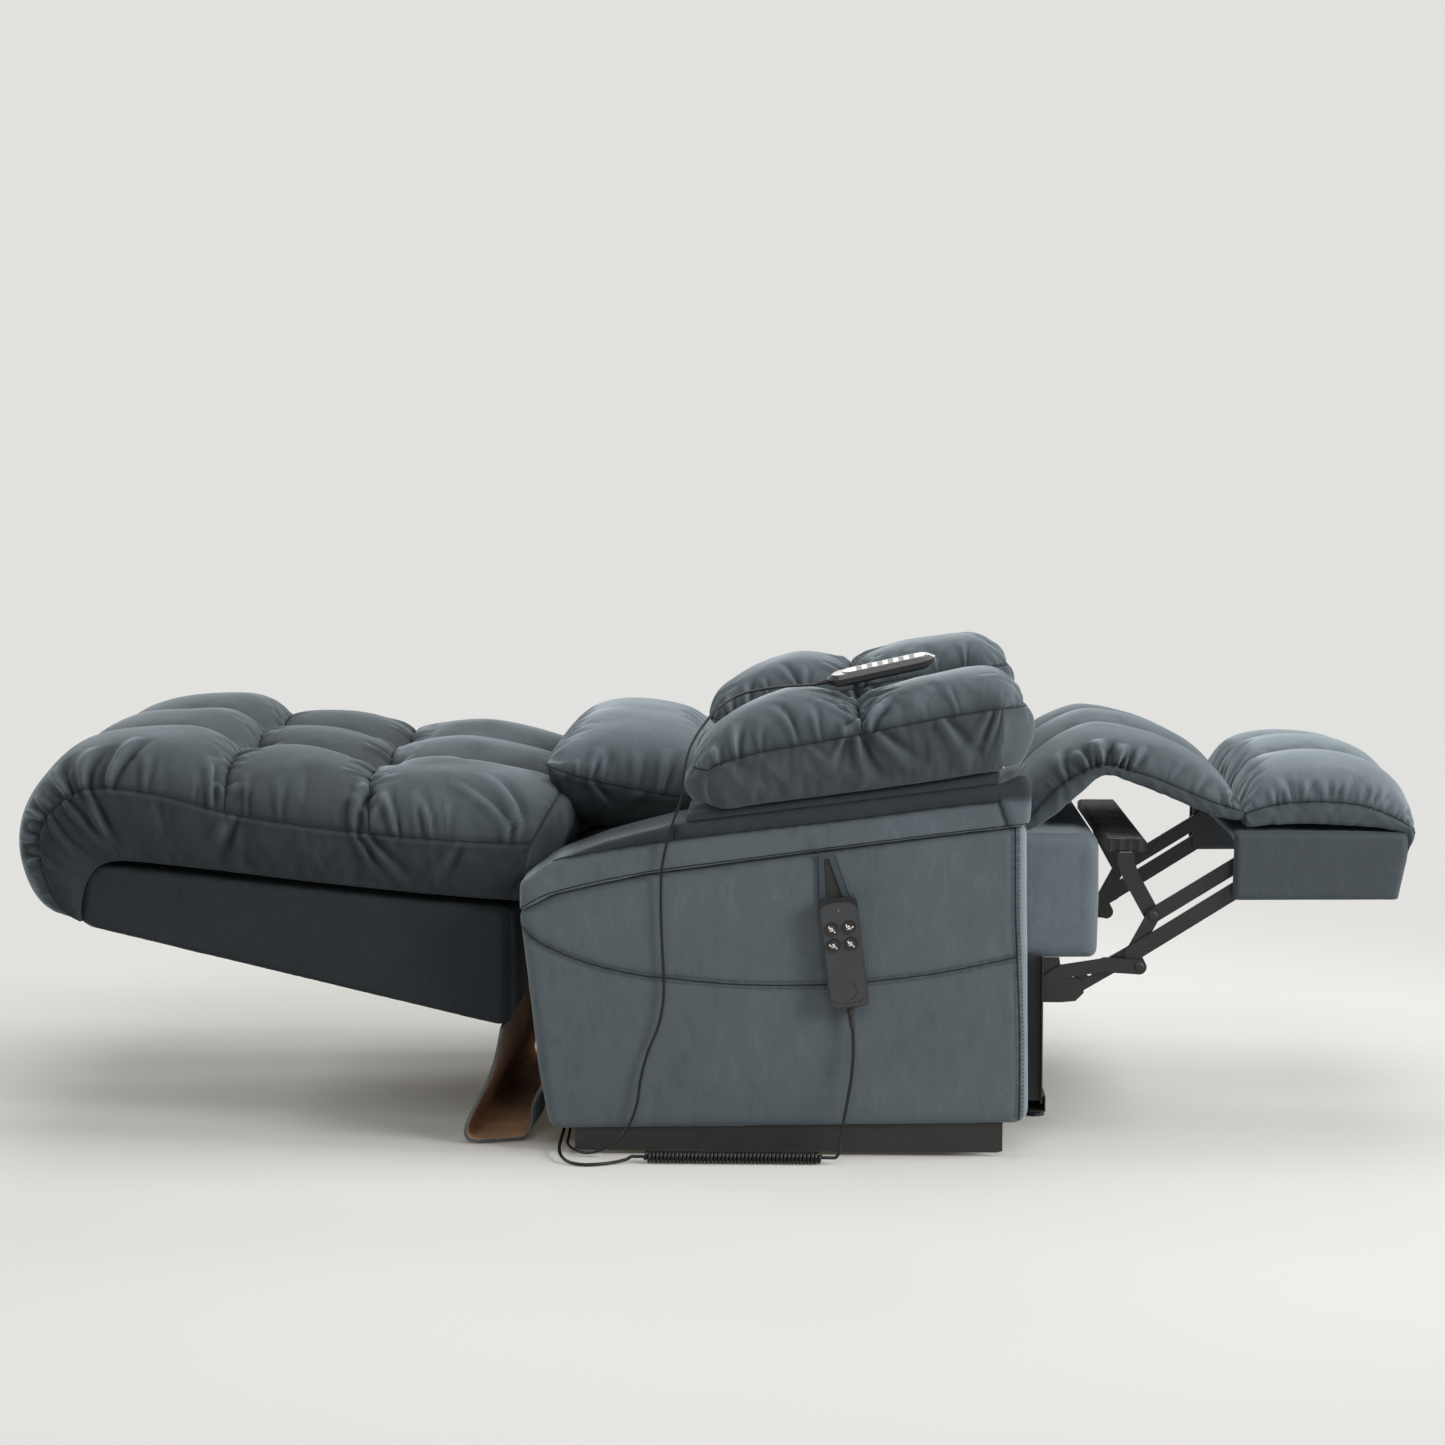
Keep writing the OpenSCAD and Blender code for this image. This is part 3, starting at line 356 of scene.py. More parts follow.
def pattern_group(name, inputs, outputs, build):
    group = bpy.data.node_groups.new(name, "ShaderNodeTree")
    for label, value in inputs:
        socket = group.interface.new_socket(label, in_out="INPUT", socket_type="NodeSocketFloat")
        socket.default_value = value
    for label in outputs:
        group.interface.new_socket(label, in_out="OUTPUT", socket_type="NodeSocketFloat")
    enter = group.nodes.new("NodeGroupInput")
    leave = group.nodes.new("NodeGroupOutput")
    for label, source in build(group, enter).items():
        group.links.new(source, leave.inputs[label])
    return group


def build_nap(tree, enter):
    """Brushed pile: a faint broad mottle, soft streaks and a fine fuzz."""
    place = own_place(tree)
    broad = noise(tree, place, enter.outputs["Stroke Size"], 4.0, 0.6, Distortion=1.2)
    stretch = add(tree, "ShaderNodeMapping", [(place, "Vector")], Scale=(2.0, 1.2, 0.8))
    streak = noise(tree, stretch.outputs[0], 30.0, 5.0, 0.65, Distortion=0.6)
    nap = maths(tree, "ADD", maths(tree, "MULTIPLY", streak, 0.55), maths(tree, "MULTIPLY", broad, 0.45))
    return {"Nap": nap, "Fuzz": noise(tree, place, 900.0, 2.0, 0.6), "Streak": streak}


nap_group = pattern_group("pile_nap", [("Stroke Size", 6.0)], ["Nap", "Fuzz", "Streak"], build_nap)


def build_grain(tree, enter):
    """A fine cast or sprayed grain, with a soft unevenness."""
    place = own_place(tree)
    return {"Grain": noise(tree, place, enter.outputs["Grain Size"], 2.0, 0.5),
            "Unevenness": noise(tree, place, 14.0, 3.0, 0.6)}


grain_group = pattern_group("fine_grain", [("Grain Size", 700.0)], ["Grain", "Unevenness"], build_grain)


def place_group(tree, group, **values):
    node = tree.nodes.new("ShaderNodeGroup")
    node.node_tree = group
    return dial(node, **values)


# Painted shade: along the seams, and faintly beside them, the pile's colour is multiplied by this.
SEAM_SHADE = (0.34, 0.36, 0.38, 1)


def velvet(name, mid, spread=0.2, stroke=6.0, sheen=0.55, sewn=True):
    """Short pile, with painted shade along its seams and paler seen edge on; the tone layer makes it paler or darker,
    in most pieces as painted light and shade, and its sheen follows the tone.
    """
    material, tree, skin = shader(name)
    nap = place_group(tree, nap_group, Stroke_Size=stroke)
    colour = ramp(tree, nap.outputs["Nap"], [(0.30, scaled(mid, 1 - spread)), (0.5, mid),
                                             (0.70, scaled(mid, 1 + spread))], "EASE")
    if sewn:
        seam, tone = (add(tree, "ShaderNodeAttribute", attribute_name=key, attribute_type="GEOMETRY").outputs["Fac"]
                      for key in ("seam", "tone"))
        shade = add(tree, "ShaderNodeMix", [(seam, "Factor"), (colour, 6)], data_type="RGBA", blend_type="MULTIPLY")
        shade.inputs[7].default_value = SEAM_SHADE
        full = maths(tree, "ADD", tone, 1.0)
        colour = add(tree, "ShaderNodeMix", [(shade.outputs[2], 6), (full, 7)], data_type="RGBA",
                     blend_type="MULTIPLY", Factor=1.0).outputs[2]
        connect(tree, skin, Sheen_Weight=maths(tree, "MULTIPLY", full, sheen))
    else:
        dial(skin, Sheen_Weight=sheen)
    rough = add(tree, "ShaderNodeMapRange", [(nap.outputs["Streak"], "Value")], To_Min=0.74, To_Max=0.95)
    dial(skin, Specular_IOR_Level=0.18, Sheen_Roughness=0.38, Sheen_Tint=(0.62, 0.72, 0.78, 1))
    fuzz = add(tree, "ShaderNodeBump", [(nap.outputs["Fuzz"], "Height")], Strength=0.14, Distance=0.0008)
    streaks = add(tree, "ShaderNodeBump", [(nap.outputs["Streak"], "Height"), (fuzz.outputs[0], "Normal")],
                  Strength=0.16, Distance=0.005)
    connect(tree, skin, Base_Color=colour, Roughness=rough.outputs[0], Normal=streaks.outputs[0])
    return material


def hard(name, colour, rough, metal=0.0, grain=700.0, bump=0.12, coat=0.0, spread=0.25, specular=0.5):
    """Painted steel, cast plastic or bare metal, with its grain and a soft unevenness."""
    material, tree, skin = shader(name)
    pattern = place_group(tree, grain_group, Grain_Size=grain)
    uneven = pattern.outputs["Unevenness"]
    tone = ramp(tree, uneven, [(0.3, scaled(colour, 1 - spread)), (0.7, scaled(colour, 1 + spread))])
    gloss = add(tree, "ShaderNodeMapRange", [(uneven, "Value")],
                To_Min=max(rough - 0.08, 0.02), To_Max=min(rough + 0.1, 1))
    dial(skin, Metallic=metal, Coat_Weight=coat, Specular_IOR_Level=specular)
    relief = add(tree, "ShaderNodeBump", [(pattern.outputs["Grain"], "Height")], Strength=bump, Distance=0.0004)
    connect(tree, skin, Base_Color=tone, Roughness=gloss.outputs[0], Normal=relief.outputs[0])
    return material


def quilted(name, colour):
    """Black quilted cloth with diamond stitching and painted shade in its stitched valleys."""
    material, tree, skin = shader(name)
    place = own_place(tree)
    waves = []
    for turn in (45, -45):
        spin = add(tree, "ShaderNodeMapping", [(place, "Vector")], Rotation=(0, 0, math.radians(turn)))
        waves.append(add(tree, "ShaderNodeTexWave", [(spin.outputs[0], "Vector")], Scale=16.0, Distortion=0.0))
    both = maths(tree, "MINIMUM", *(wave.outputs["Fac"] for wave in waves))
    puff = add(tree, "ShaderNodeBump", [(both, "Height")], Strength=0.8, Distance=0.004)
    dial(skin, Roughness=0.8, Sheen_Weight=0.2)
    connect(tree, skin, Base_Color=ramp(tree, both, [(0.0, scaled(colour, 0.4)), (0.4, colour)]),
            Normal=puff.outputs[0])
    return material


SLATE = (0.067, 0.082, 0.093)
velvet_panel = velvet("velvet_panel", (0.099, 0.121, 0.136), 0.19, 4.0, 0.55)
velvet_cushion = velvet("velvet_cushion", SLATE, 0.22, 7.0, 0.5)
velvet_trim = velvet("velvet_trim", SLATE, 0.2, 6.0, 0.5)
seam_thread = velvet("seam_thread", (0.018, 0.024, 0.027), 0.3, 40.0, 0.1, sewn=False)
stitch_thread = velvet("stitch_thread", (0.06, 0.075, 0.083), 0.3, 60.0, 0.2, sewn=False)
flap_lining = velvet("flap_lining", (0.50, 0.30, 0.17), 0.25, 9.0, 0.15, sewn=False)
flap_edge = velvet("flap_edge", (0.13, 0.14, 0.15), 0.3, 60.0, 0.1, sewn=False)
flipper_cloth = quilted("flipper_cloth", (0.014, 0.014, 0.015))

# colour, roughness, grain size, other settings and the CAD nodes that wear it
PAINTS = {
    "powder_coat": ((0.012, 0.012, 0.013), 0.5, 1100, dict(bump=0.3),
                    "base_rails base_front_beam base_rear_beam lift_arms torque_tube chassis_plates "
                    "chassis_cross_front chassis_cross_rear front_posts seat_rails seat_rear_rail back_hinges"),
    "link_paint": ((0.010, 0.010, 0.011), 0.38, 900, dict(bump=0.2),
                   "footrest_brackets rear_links second_rear_links front_links upper_links flipper_arms "
                   "footrest_plates"),
    "boot_rubber": ((0.012, 0.012, 0.012), 0.62, 500, {},
                    "base_feet control_box cord_glands mains_inlet handset_relief remote_relief"),
    "motor_case": ((0.022, 0.022, 0.024), 0.5, 800, {}, "lift_motor recline_motor"),
    "bright_steel": ((0.62, 0.62, 0.61), 0.28, 1500, dict(metal=1.0, bump=0.1, spread=0.06), "lift_rod recline_rod"),
    "spring_steel": ((0.20, 0.20, 0.20), 0.42, 900, dict(metal=1.0, spread=0.1), "seat_springs"),
    "handset_grey": ((0.030, 0.032, 0.036), 0.46, 1600, dict(bump=0.2, spread=0.08), "handset_case"),
    "gloss_black": ((0.005, 0.005, 0.006), 0.16, 300, dict(bump=0.02, spread=0.1, specular=0.4, coat=0.1),
                    "handset_rim remote_case"),
    "key_black": ((0.008, 0.008, 0.009), 0.3, 400, dict(bump=0.04, spread=0.1),
                  "button_back_up button_back_down button_legs_up button_legs_down"),
    "remote_key_grey": ((0.085, 0.088, 0.092), 0.35, 1400, dict(bump=0.1, spread=0.06), ""),
    "symbol_white": ((0.75, 0.75, 0.73), 0.5, 600, dict(spread=0.03), ""),
    "keypad_silver": ((0.30, 0.305, 0.31), 0.36, 2200, dict(metal=0.6, bump=0.15, spread=0.05), "remote_keypad"),
    "cord_sheath": ((0.005, 0.005, 0.006), 0.34, 900, dict(bump=0.08, spread=0.2, specular=0.35), ""),
    "roller_nylon": ((0.62, 0.61, 0.56), 0.4, 500, dict(spread=0.05), "seat_rollers"),
}
paint = {}


def wear(node, material):
    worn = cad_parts[node].data.materials
    worn.clear()
    worn.append(material)


wear("flipper_pad", flipper_cloth)
for paint_name, (colour, rough, grain, more, nodes) in PAINTS.items():
    paint[paint_name] = hard(paint_name, colour, rough, grain=grain, **more)
    for node in nodes.split():
        wear(node, paint[paint_name])


# ---- cords

HANDSET_TILT = math.radians(7)
HANDSET_X, HANDSET_Z = 0.1815, 0.294
handset_reach = (154 / 2 + 30) / 1000
handset_exit = (HANDSET_X + handset_reach * math.sin(HANDSET_TILT), -0.4451,
                HANDSET_Z - handset_reach * math.cos(HANDSET_TILT))
handset_face = (Matrix.Translation((HANDSET_X, 0, HANDSET_Z)) @ Matrix.Rotation(math.radians(90), 4, "X")
                @ Matrix.Rotation(HANDSET_TILT, 4, "Z"))
COIL_Y, COIL_Z = -0.471, 0.0092
COIL_FRONT, COIL_BACK, COIL_LEAD = 0.164, -0.108, 0.012
COIL_R = (0.0174 - 0.0044) / 2
CURLS, CURL_STEPS = 46, 16


def coil_points():
    """The curls on the floor, drawn in at both ends."""
    span = COIL_FRONT - COIL_BACK - 2 * COIL_LEAD
    points = []
    steps, ends = CURLS * CURL_STEPS, 12
    for i in range(steps + 1):
        a = 2 * math.pi * i / CURL_STEPS
        r = COIL_R * max(min(1.0, i / ends, (steps - i) / ends), 0.12)
        points.append((COIL_FRONT - COIL_LEAD - span * i / steps, COIL_Y + r * math.cos(a), COIL_Z + r * math.sin(a)))
    return points


drop_route = [handset_exit, (0.1955, -0.446, 0.172), (0.1955, -0.448, 0.148), (0.193, -0.451, 0.118),
              (0.188, -0.455, 0.088), (0.182, -0.461, 0.056), (0.178, -0.466, 0.032), (0.176, -0.470, 0.017),
              (0.172, COIL_Y, 0.0102), (0.168, COIL_Y, COIL_Z), (0.164, COIL_Y, COIL_Z)]
tail_route = [(-0.108, COIL_Y, COIL_Z), (-0.113, COIL_Y, COIL_Z), (-0.122, -0.473, 0.005), (-0.140, -0.482, 0.003),
              (-0.160, -0.492, 0.003), (-0.180, -0.494, 0.003), (-0.200, -0.484, 0.004), (-0.212, -0.464, 0.008),
              (-0.217, -0.436, 0.012), (-0.218, -0.400, 0.014), (-0.218, -0.350, 0.016), (-0.216, -0.300, 0.024),
              (-0.208, -0.264, 0.044), (-0.196, -0.246, 0.068), (-0.184, -0.239, 0.079), (-0.180, -0.234, 0.080),
              (-0.180, -0.2273, 0.080)]
remote_at = Vector((0.235, -0.398, 0.677))
remote_turn = Matrix.Rotation(math.radians(-12.5), 3, "Y") @ Matrix.Rotation(math.radians(8), 3, "X")
remote_exit = remote_at + remote_turn @ Vector((-(0.0772 + 0.014), 0, 0.0085))


HANDSET_CORD, REMOTE_CORD = 0.0046, 0.0038


def cords():
    """Both cords, each one line from its handset to the control box."""
    handset_line = smooth(drop_route, 6)[:-1] + coil_points() + smooth(tail_route, 6)[1:]
    line = tube("handset_cord", handset_line, HANDSET_CORD / 2, paint["cord_sheath"], "chassis", "cord_black")
    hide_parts("handset_cord_drop", "handset_cord_coil", "handset_cord_tail")
    ex = tuple(remote_exit)
    route = [ex, (ex[0] - 0.008, ex[1], ex[2] - 0.0018), (0.105, -0.400, 0.662), (0.070, -0.402, 0.658),
             (0.036, -0.405, 0.650), (0.008, -0.420, 0.634), (-0.014, -0.436, 0.610), (-0.032, -0.450, 0.580),
             (-0.040, -0.455, 0.545), (-0.044, -0.453, 0.510), (-0.056, -0.447, 0.475), (-0.066, -0.443, 0.440),
             (-0.072, -0.441, 0.405), (-0.073, -0.440, 0.350), (-0.071, -0.440, 0.295), (-0.069, -0.440, 0.250),
             (-0.071, -0.440, 0.215), (-0.078, -0.440, 0.185), (-0.092, -0.440, 0.150), (-0.102, -0.440, 0.112),
             (-0.107, -0.440, 0.078), (-0.118, -0.441, 0.048), (-0.135, -0.443, 0.024), (-0.156, -0.444, 0.012),
             (-0.178, -0.438, 0.006), (-0.196, -0.420, 0.006), (-0.208, -0.392, 0.008), (-0.210, -0.350, 0.010),
             (-0.208, -0.300, 0.022), (-0.196, -0.268, 0.040), (-0.172, -0.246, 0.062), (-0.150, -0.234, 0.080),
             (-0.150, -0.227, 0.080)]
    remote_line = smooth(route, 6)
    line = tube("remote_cord_line", remote_line, REMOTE_CORD / 2, paint["cord_sheath"], "chassis", "cord_black")
    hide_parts("remote_cord")


cords()


# ---- cushions

def cushion_bmesh(n, m, cuts):
    """A closed quilt: a grid for the top, walls for the gusset and a bottom folded to its middle."""
    bm = bmesh.new()
    t, v, g = (bm.verts.layers.float.new(k) for k in ("t", "v", "g"))
    bmesh.ops.create_grid(bm, x_segments=n, y_segments=m, size=1.0)
    for vert in bm.verts:
        vert[t], vert[v], vert[g] = (vert.co.x + 1) / 2, vert.co.y, 0.0
    for level in (1.0, 2.0):
        rim = [e for e in bm.edges if e.is_boundary]
        made = bmesh.ops.extrude_edge_only(bm, edges=rim)
        fresh = [q for q in made["geom"] if isinstance(q, bmesh.types.BMVert)]
        for vert in fresh:
            vert[g] = level
        if level == 1.0:
            ladder = [e for q in fresh for e in q.link_edges if abs(e.verts[0][g] - e.verts[1][g]) > 0.5]
            bmesh.ops.subdivide_edges(bm, edges=ladder, cuts=cuts, use_grid_fill=True)
    return bm, t, v, g


def tent(x, seams, width, power):
    """1 on each seam, falling to 0 over the width, with a crease on the seam."""
    total = np.zeros_like(x)
    for s in seams:
        total = np.maximum(total, np.maximum(1 - np.abs(x - s) / width, 0) ** power)
    return total


def near_line(x, seams, width):
    total = np.zeros_like(x)
    for s in seams:
        total = np.maximum(total, np.exp(-(np.abs(x - s) / width) ** 1.5))
    return total


def snap(x, seams, step):
    """Moves the nearest grid lines onto the seams."""
    for s in seams:
        x = np.where(np.abs(x - s) <= step * 0.5001, s, x)
    return x


def folds(s, d, rows):
    """Folds in the cloth: each row is s0, d0, s1, d1, width, height, in metres along and away from a seam."""
    lift = np.zeros_like(s)
    for s0, d0, s1, d1, wide, high in rows:
        ds, dd = s1 - s0, d1 - d0
        long = math.hypot(ds, dd)
        q = ((s - s0) * ds + (d - d0) * dd) / long ** 2
        off = ((s - s0) * dd - (d - d0) * ds) / long
        w = wide * (0.55 + 0.9 * np.clip(q, 0, 1.2))
        live = np.clip(q * 9 + 0.6, 0, 1) * np.clip((1.05 - q) * 1.6, 0, 1)
        lift += high * live * (np.exp(-(off / w) ** 2) - 0.85 * np.exp(-((off - 1.5 * w) / (0.75 * w)) ** 2)
                               - 0.35 * np.exp(-((off + 1.7 * w) / w) ** 2))
    return lift


def seam_folds(seed, length, every, reach, width, height, lean=0.35):
    """A loose row of folds along a seam, some long and some short."""
    rng = np.random.default_rng(seed)
    rows = []
    at = every * rng.uniform(0.2, 0.9)
    while at < length:
        far = reach * rng.uniform(0.35, 1.0) ** 1.3
        rows.append((at, 0.0, at + far * rng.uniform(-lean, lean), far, width * rng.uniform(0.6, 1.3),
                     height * rng.uniform(0.3, 1.0) * (0.5 + 0.5 * far / reach)))
        at += every * rng.uniform(0.45, 1.7)
    return rows


def single_folds(rows):
    """Folds given one by one, from mm."""
    return [(s0 / 1000, 0.0, s1 / 1000, far / 1000, wide / 1000, high / 1000) for s0, s1, far, wide, high in rows]


# The second width is that of the faint painted shade beside each seam.
SEAM_WIDTH, SEAM_HALO, SEAM_DEPTH, SEAM_THREAD = 0.0030, 0.012, 0.0016, 0.0011
# Painted light and shade on the folds: ridges paler and hollows darker, in full where the cloth stands this far out.
RELIEF_TONE, RELIEF_FULL = 0.38, 0.005
NEAR_ZERO, NEAR_ONE = 0.001, 0.9999
SWELL_FRAMES = 20
CLOTH_SETTINGS = dict(quality=4, mass=0.3, tension_stiffness=12, compression_stiffness=12, bending_stiffness=0.08,
                      use_pressure=True, uniform_pressure_force=4.0, shrink_min=-0.05, shrink_max=-0.05,
                      vertex_group_mass="held")


class Quilt:
    """One cushion: its seam line, base line and crown, seams across (rows) and along (cols)."""

    def __init__(self, name, node, body, slot, seam, base, crowns, half, base_half, rows=(), row_w=0.09, cols=(),
                 col_w=0.3, depth=(0.2, 0.33), draw=0.02, mesh=0.006, cuts=6, side=3.0, bulge=0.006, seed=1,
                 pleats=(0.06, 0.05, 0.0055, 0.0026), row_pleats=(0.05, 0.045, 0.006, 0.0026),
                 gusset_pleats=(0.12, 0.07, 0.008, 0.0018), gusset_h=0.09, shift_y=0.0, corner=0.0, fill=0.7,
                 lumps=0.0025, cap=0.012, tone=(0.0, 0.0), special=(), turn=(0, 0), junction=0.35, far=0.0,
                 round_x=(0.0, 0.0), end_swell=(0.0, 0.0), shades=(), far_side=0.0):
        self.__dict__.update(locals())
        self.seam = np.array(seam, float) / 1000
        self.base = np.array(base, float) / 1000
        self.crowns = np.array(crowns, float) / 1000
        dense = np.linspace(0, 1, 400)
        steps = np.linalg.norm(np.diff(along(self.seam, dense), axis=0), axis=1)
        self.run = (dense, np.concatenate([[0], np.cumsum(steps)]))
        self.length = self.run[1][-1]
        self.width = 2 * half

    def place(self, t, v, g):
        p, q = along(self.seam, t), along(self.base, t)
        step = along(self.seam, np.minimum(t + 0.012, 1)) - along(self.seam, np.maximum(t - 0.012, 0))
        up = np.stack([-step[:, 1], step[:, 0]], 1)
        up /= np.linalg.norm(up, axis=1)[:, None]
        lean = np.radians(along(self.turn, t))
        c, s = np.cos(lean), np.sin(lean)
        up = np.stack([up[:, 0] * c - up[:, 1] * s, up[:, 0] * s + up[:, 1] * c], 1)
        row = tent(t, self.rows, self.row_w, 1.7)
        col = tent(v, self.cols, self.col_w, 1.7)
        power = np.where(v > 0, self.side + self.far_side, self.side)
        sides = np.sqrt(np.maximum(1 - np.abs(v) ** power, 0)) * (1 + self.far * np.maximum(v, 0))
        rise = along(self.crowns, t) * sides * (1 - self.depth[0] * row) * (1 - self.depth[1] * col)
        rise *= 1 - self.junction * row * col
        ends = 1 - self.corner * (np.clip(1 - t / 0.16, 0, 1) ** 2.2 + np.clip(1 - (1 - t) / 0.16, 0, 1) ** 2.2)
        top = np.stack([p[:, 0] + up[:, 0] * rise, self.half * v * (1 - self.draw * row) * ends,
                        p[:, 1] + up[:, 1] * rise], 1)
        low = np.stack([q[:, 0], self.base_half * np.clip(v, -1, 1) * ends, q[:, 1]], 1)
        wall = np.clip(g, 0, 1)[:, None]
        out = top * (1 - wall) + low * wall
        swell = self.bulge * np.sin(np.clip(g, 0, 1) * math.pi)
        out[:, 1] += np.where(np.abs(v) > NEAR_ONE, np.sign(v) * swell, 0)
        out[:, 1] = np.where(g > 1.5, 0, out[:, 1])
        puffed = np.sin(np.clip(g, 0, 1) ** 0.7 * math.pi) * (1 - v ** 4)
        for sign, from_end, rounding, swollen in zip((1, -1), (t, 1 - t), self.round_x, self.end_swell):
            out[:, 0] += sign * np.clip(1 - from_end / 0.3, 0, 1) ** 2 * rounding * np.abs(v) ** 4
            out[:, 0] -= np.where(from_end < 1e-4, sign * swollen * puffed, 0)
        out[:, 1] += self.shift_y
        return out

    def relief(self, t, v, g):
        """How far the cloth stands out at each vertex: folds off every seam and broad lumps."""
        s, across = np.interp(t, *self.run), v * self.half
        top, wall = g < NEAR_ZERO, (g > NEAR_ZERO) & (g < 1.001)
        edge = (1 - np.abs(v)) * self.half * 1.35
        from_end = np.clip(np.minimum(s, self.length - s) / 0.03, 0, 1)
        from_side = np.clip(edge / 0.04, 0, 1)
        lift = np.zeros_like(t)
        for k, sign in enumerate((-1, 1)):
            own = dict(self.special) if sign < 0 else {}
            rows = seam_folds(self.seed * 31 + k, self.length, *self.pleats) + single_folds(own.get("top", ()))
            lift += np.where(top & (np.sign(v) == sign), folds(s, edge, rows) * from_end, 0)
            rows = seam_folds(self.seed * 17 + k, self.length, *self.gusset_pleats, lean=0.9)
            rows += single_folds(own.get("wall", ()))
            side_wall = wall & (np.abs(v) > NEAR_ONE) & (np.sign(v) == sign)
            lift += np.where(side_wall, folds(s, g * self.gusset_h, rows), 0)
        every, reach, wide, high = self.row_pleats
        for k, r in enumerate(self.rows):
            d = s - np.interp(r, *self.run)
            for j, sign in enumerate((-1, 1)):
                rows = seam_folds(self.seed * 57 + 5 * k + j, self.width, every, reach, wide, high)
                for c in (*self.cols, -1, 1):
                    mid, turn = self.half * (1 + c), 1 if c < 0 else -1
                    rows += [(mid + turn * 0.006 * i, 0.0, mid + turn * (0.006 + 0.014 * (i + 1)),
                              reach * (0.9 - 0.17 * i), wide * 0.9, high * (0.9 - 0.2 * i)) for i in range(1, 4)]
                lift += np.where(top & (np.sign(d) == sign), folds(across + self.half, np.abs(d), rows), 0)
        for k, c in enumerate(self.cols):
            d = (v - c) * self.half
            for j, sign in enumerate((-1, 1)):
                rows = seam_folds(self.seed * 83 + 5 * k + j, self.length, every * 1.2, reach * 0.6, wide * 0.9,
                                  high * 0.8)
                lift += np.where(top & (np.sign(d) == sign), folds(s, np.abs(d), rows), 0)
        for k, d in enumerate((s, self.length - s)):
            rows = seam_folds(self.seed * 91 + k, self.width, every, reach * 0.9, wide, high * 0.5)
            lift += np.where(top, folds(across + self.half, d, rows) * from_side, 0)
        soft = noise_along(self.seed * 7, s + across * 0.6, 0.31) * noise_along(self.seed * 11, across - s * 0.4, 0.23)
        return lift + np.where(top, self.lumps * soft * np.minimum(edge / 0.05, 1), 0)

    def seam_marks(self, t, v, g, width):
        s, across = np.interp(t, *self.run), v * self.half
        rows = [np.interp(r, *self.run) for r in self.rows]
        cols = [c * self.half for c in self.cols]
        flat = np.maximum(near_line(s, rows, width), near_line(across, cols, width))
        flat = np.maximum(flat, np.exp(-(((1 - np.abs(v)) * self.half) / width) ** 1.5))
        flat = np.maximum(flat, np.exp(-(np.minimum(s, self.length - s) / width) ** 1.5))
        return np.where(g < NEAR_ZERO, flat, np.exp(-(g * self.gusset_h / width) ** 1.5))

    def build(self):
        n = max(int(self.length / self.mesh), 8)
        m = max(int(self.width / self.mesh), 8)
        bm, lt, lv, lg = cushion_bmesh(n, m, self.cuts)
        t, v, g = (np.array([q[layer] for q in bm.verts]) for layer in (lt, lv, lg))
        t, v = snap(t, self.rows, 1 / n), snap(v, self.cols, 2 / m)
        co = self.place(t, v, g)
        for vert, p, a, b in zip(bm.verts, co, t, v):
            vert.co, vert[lt], vert[lv] = p, a, b
        bmesh.ops.remove_doubles(bm, verts=[q for q in bm.verts if q[lg] > 1.5], dist=1e-5)
        bmesh.ops.dissolve_degenerate(bm, dist=1e-7, edges=bm.edges)
        bmesh.ops.recalc_face_normals(bm, faces=bm.faces)
        piece = new_piece(self.name, bm, velvet_cushion, None)
        self.inflate(piece)
        fine = piece.modifiers.new("finer", "SUBSURF")
        fine.levels = fine.render_levels = 1
        apply_modifiers(piece)
        mesh = piece.data
        t, v, g = self.layers(mesh)
        groove = self.seam_marks(t, v, g, SEAM_WIDTH)
        lift = self.relief(t, v, g) - SEAM_DEPTH * groove
        set_coords(mesh, coords(mesh) + normals(mesh) * lift[:, None])
        # Painted shade: the seam layer darkens the cloth on each seam, and more faintly in a wider band beside it.
        add_layer(mesh, "seam", np.maximum(groove, 0.45 * self.seam_marks(t, v, g, SEAM_HALO)))
        # Painted light and shade: each cushion's top and walls are made paler or darker by its tone pair, the end wall
        # takes a blend of the two (the top's tone on the back cushion), and shades make the sections between the rows
        # paler or darker.
        above, below = self.tone
        tone = np.where(g < NEAR_ZERO, above, below * np.clip(g * 12, 0, 1))
        end = above if self.cuts == 12 else (0.4 * above + 0.6 * below)
        tone = np.where((g > NEAR_ZERO) & (t > 1 - 1e-4) & (np.abs(v) < 0.999), end, tone)
        if self.shades:
            tone = tone + np.where(g < NEAR_ZERO, np.array(self.shades)[np.searchsorted(self.rows, t)], 0)
        add_layer(mesh, "tone", tone + RELIEF_TONE * np.clip(lift / RELIEF_FULL, -1, 1) * (1 + tone))
        self.final = (coords(mesh), t, v, g)
        mesh.shade_smooth()
        return piece

    def layers(self, mesh):
        return [read(mesh.attributes[key].data, "value") for key in ("t", "v", "g")]

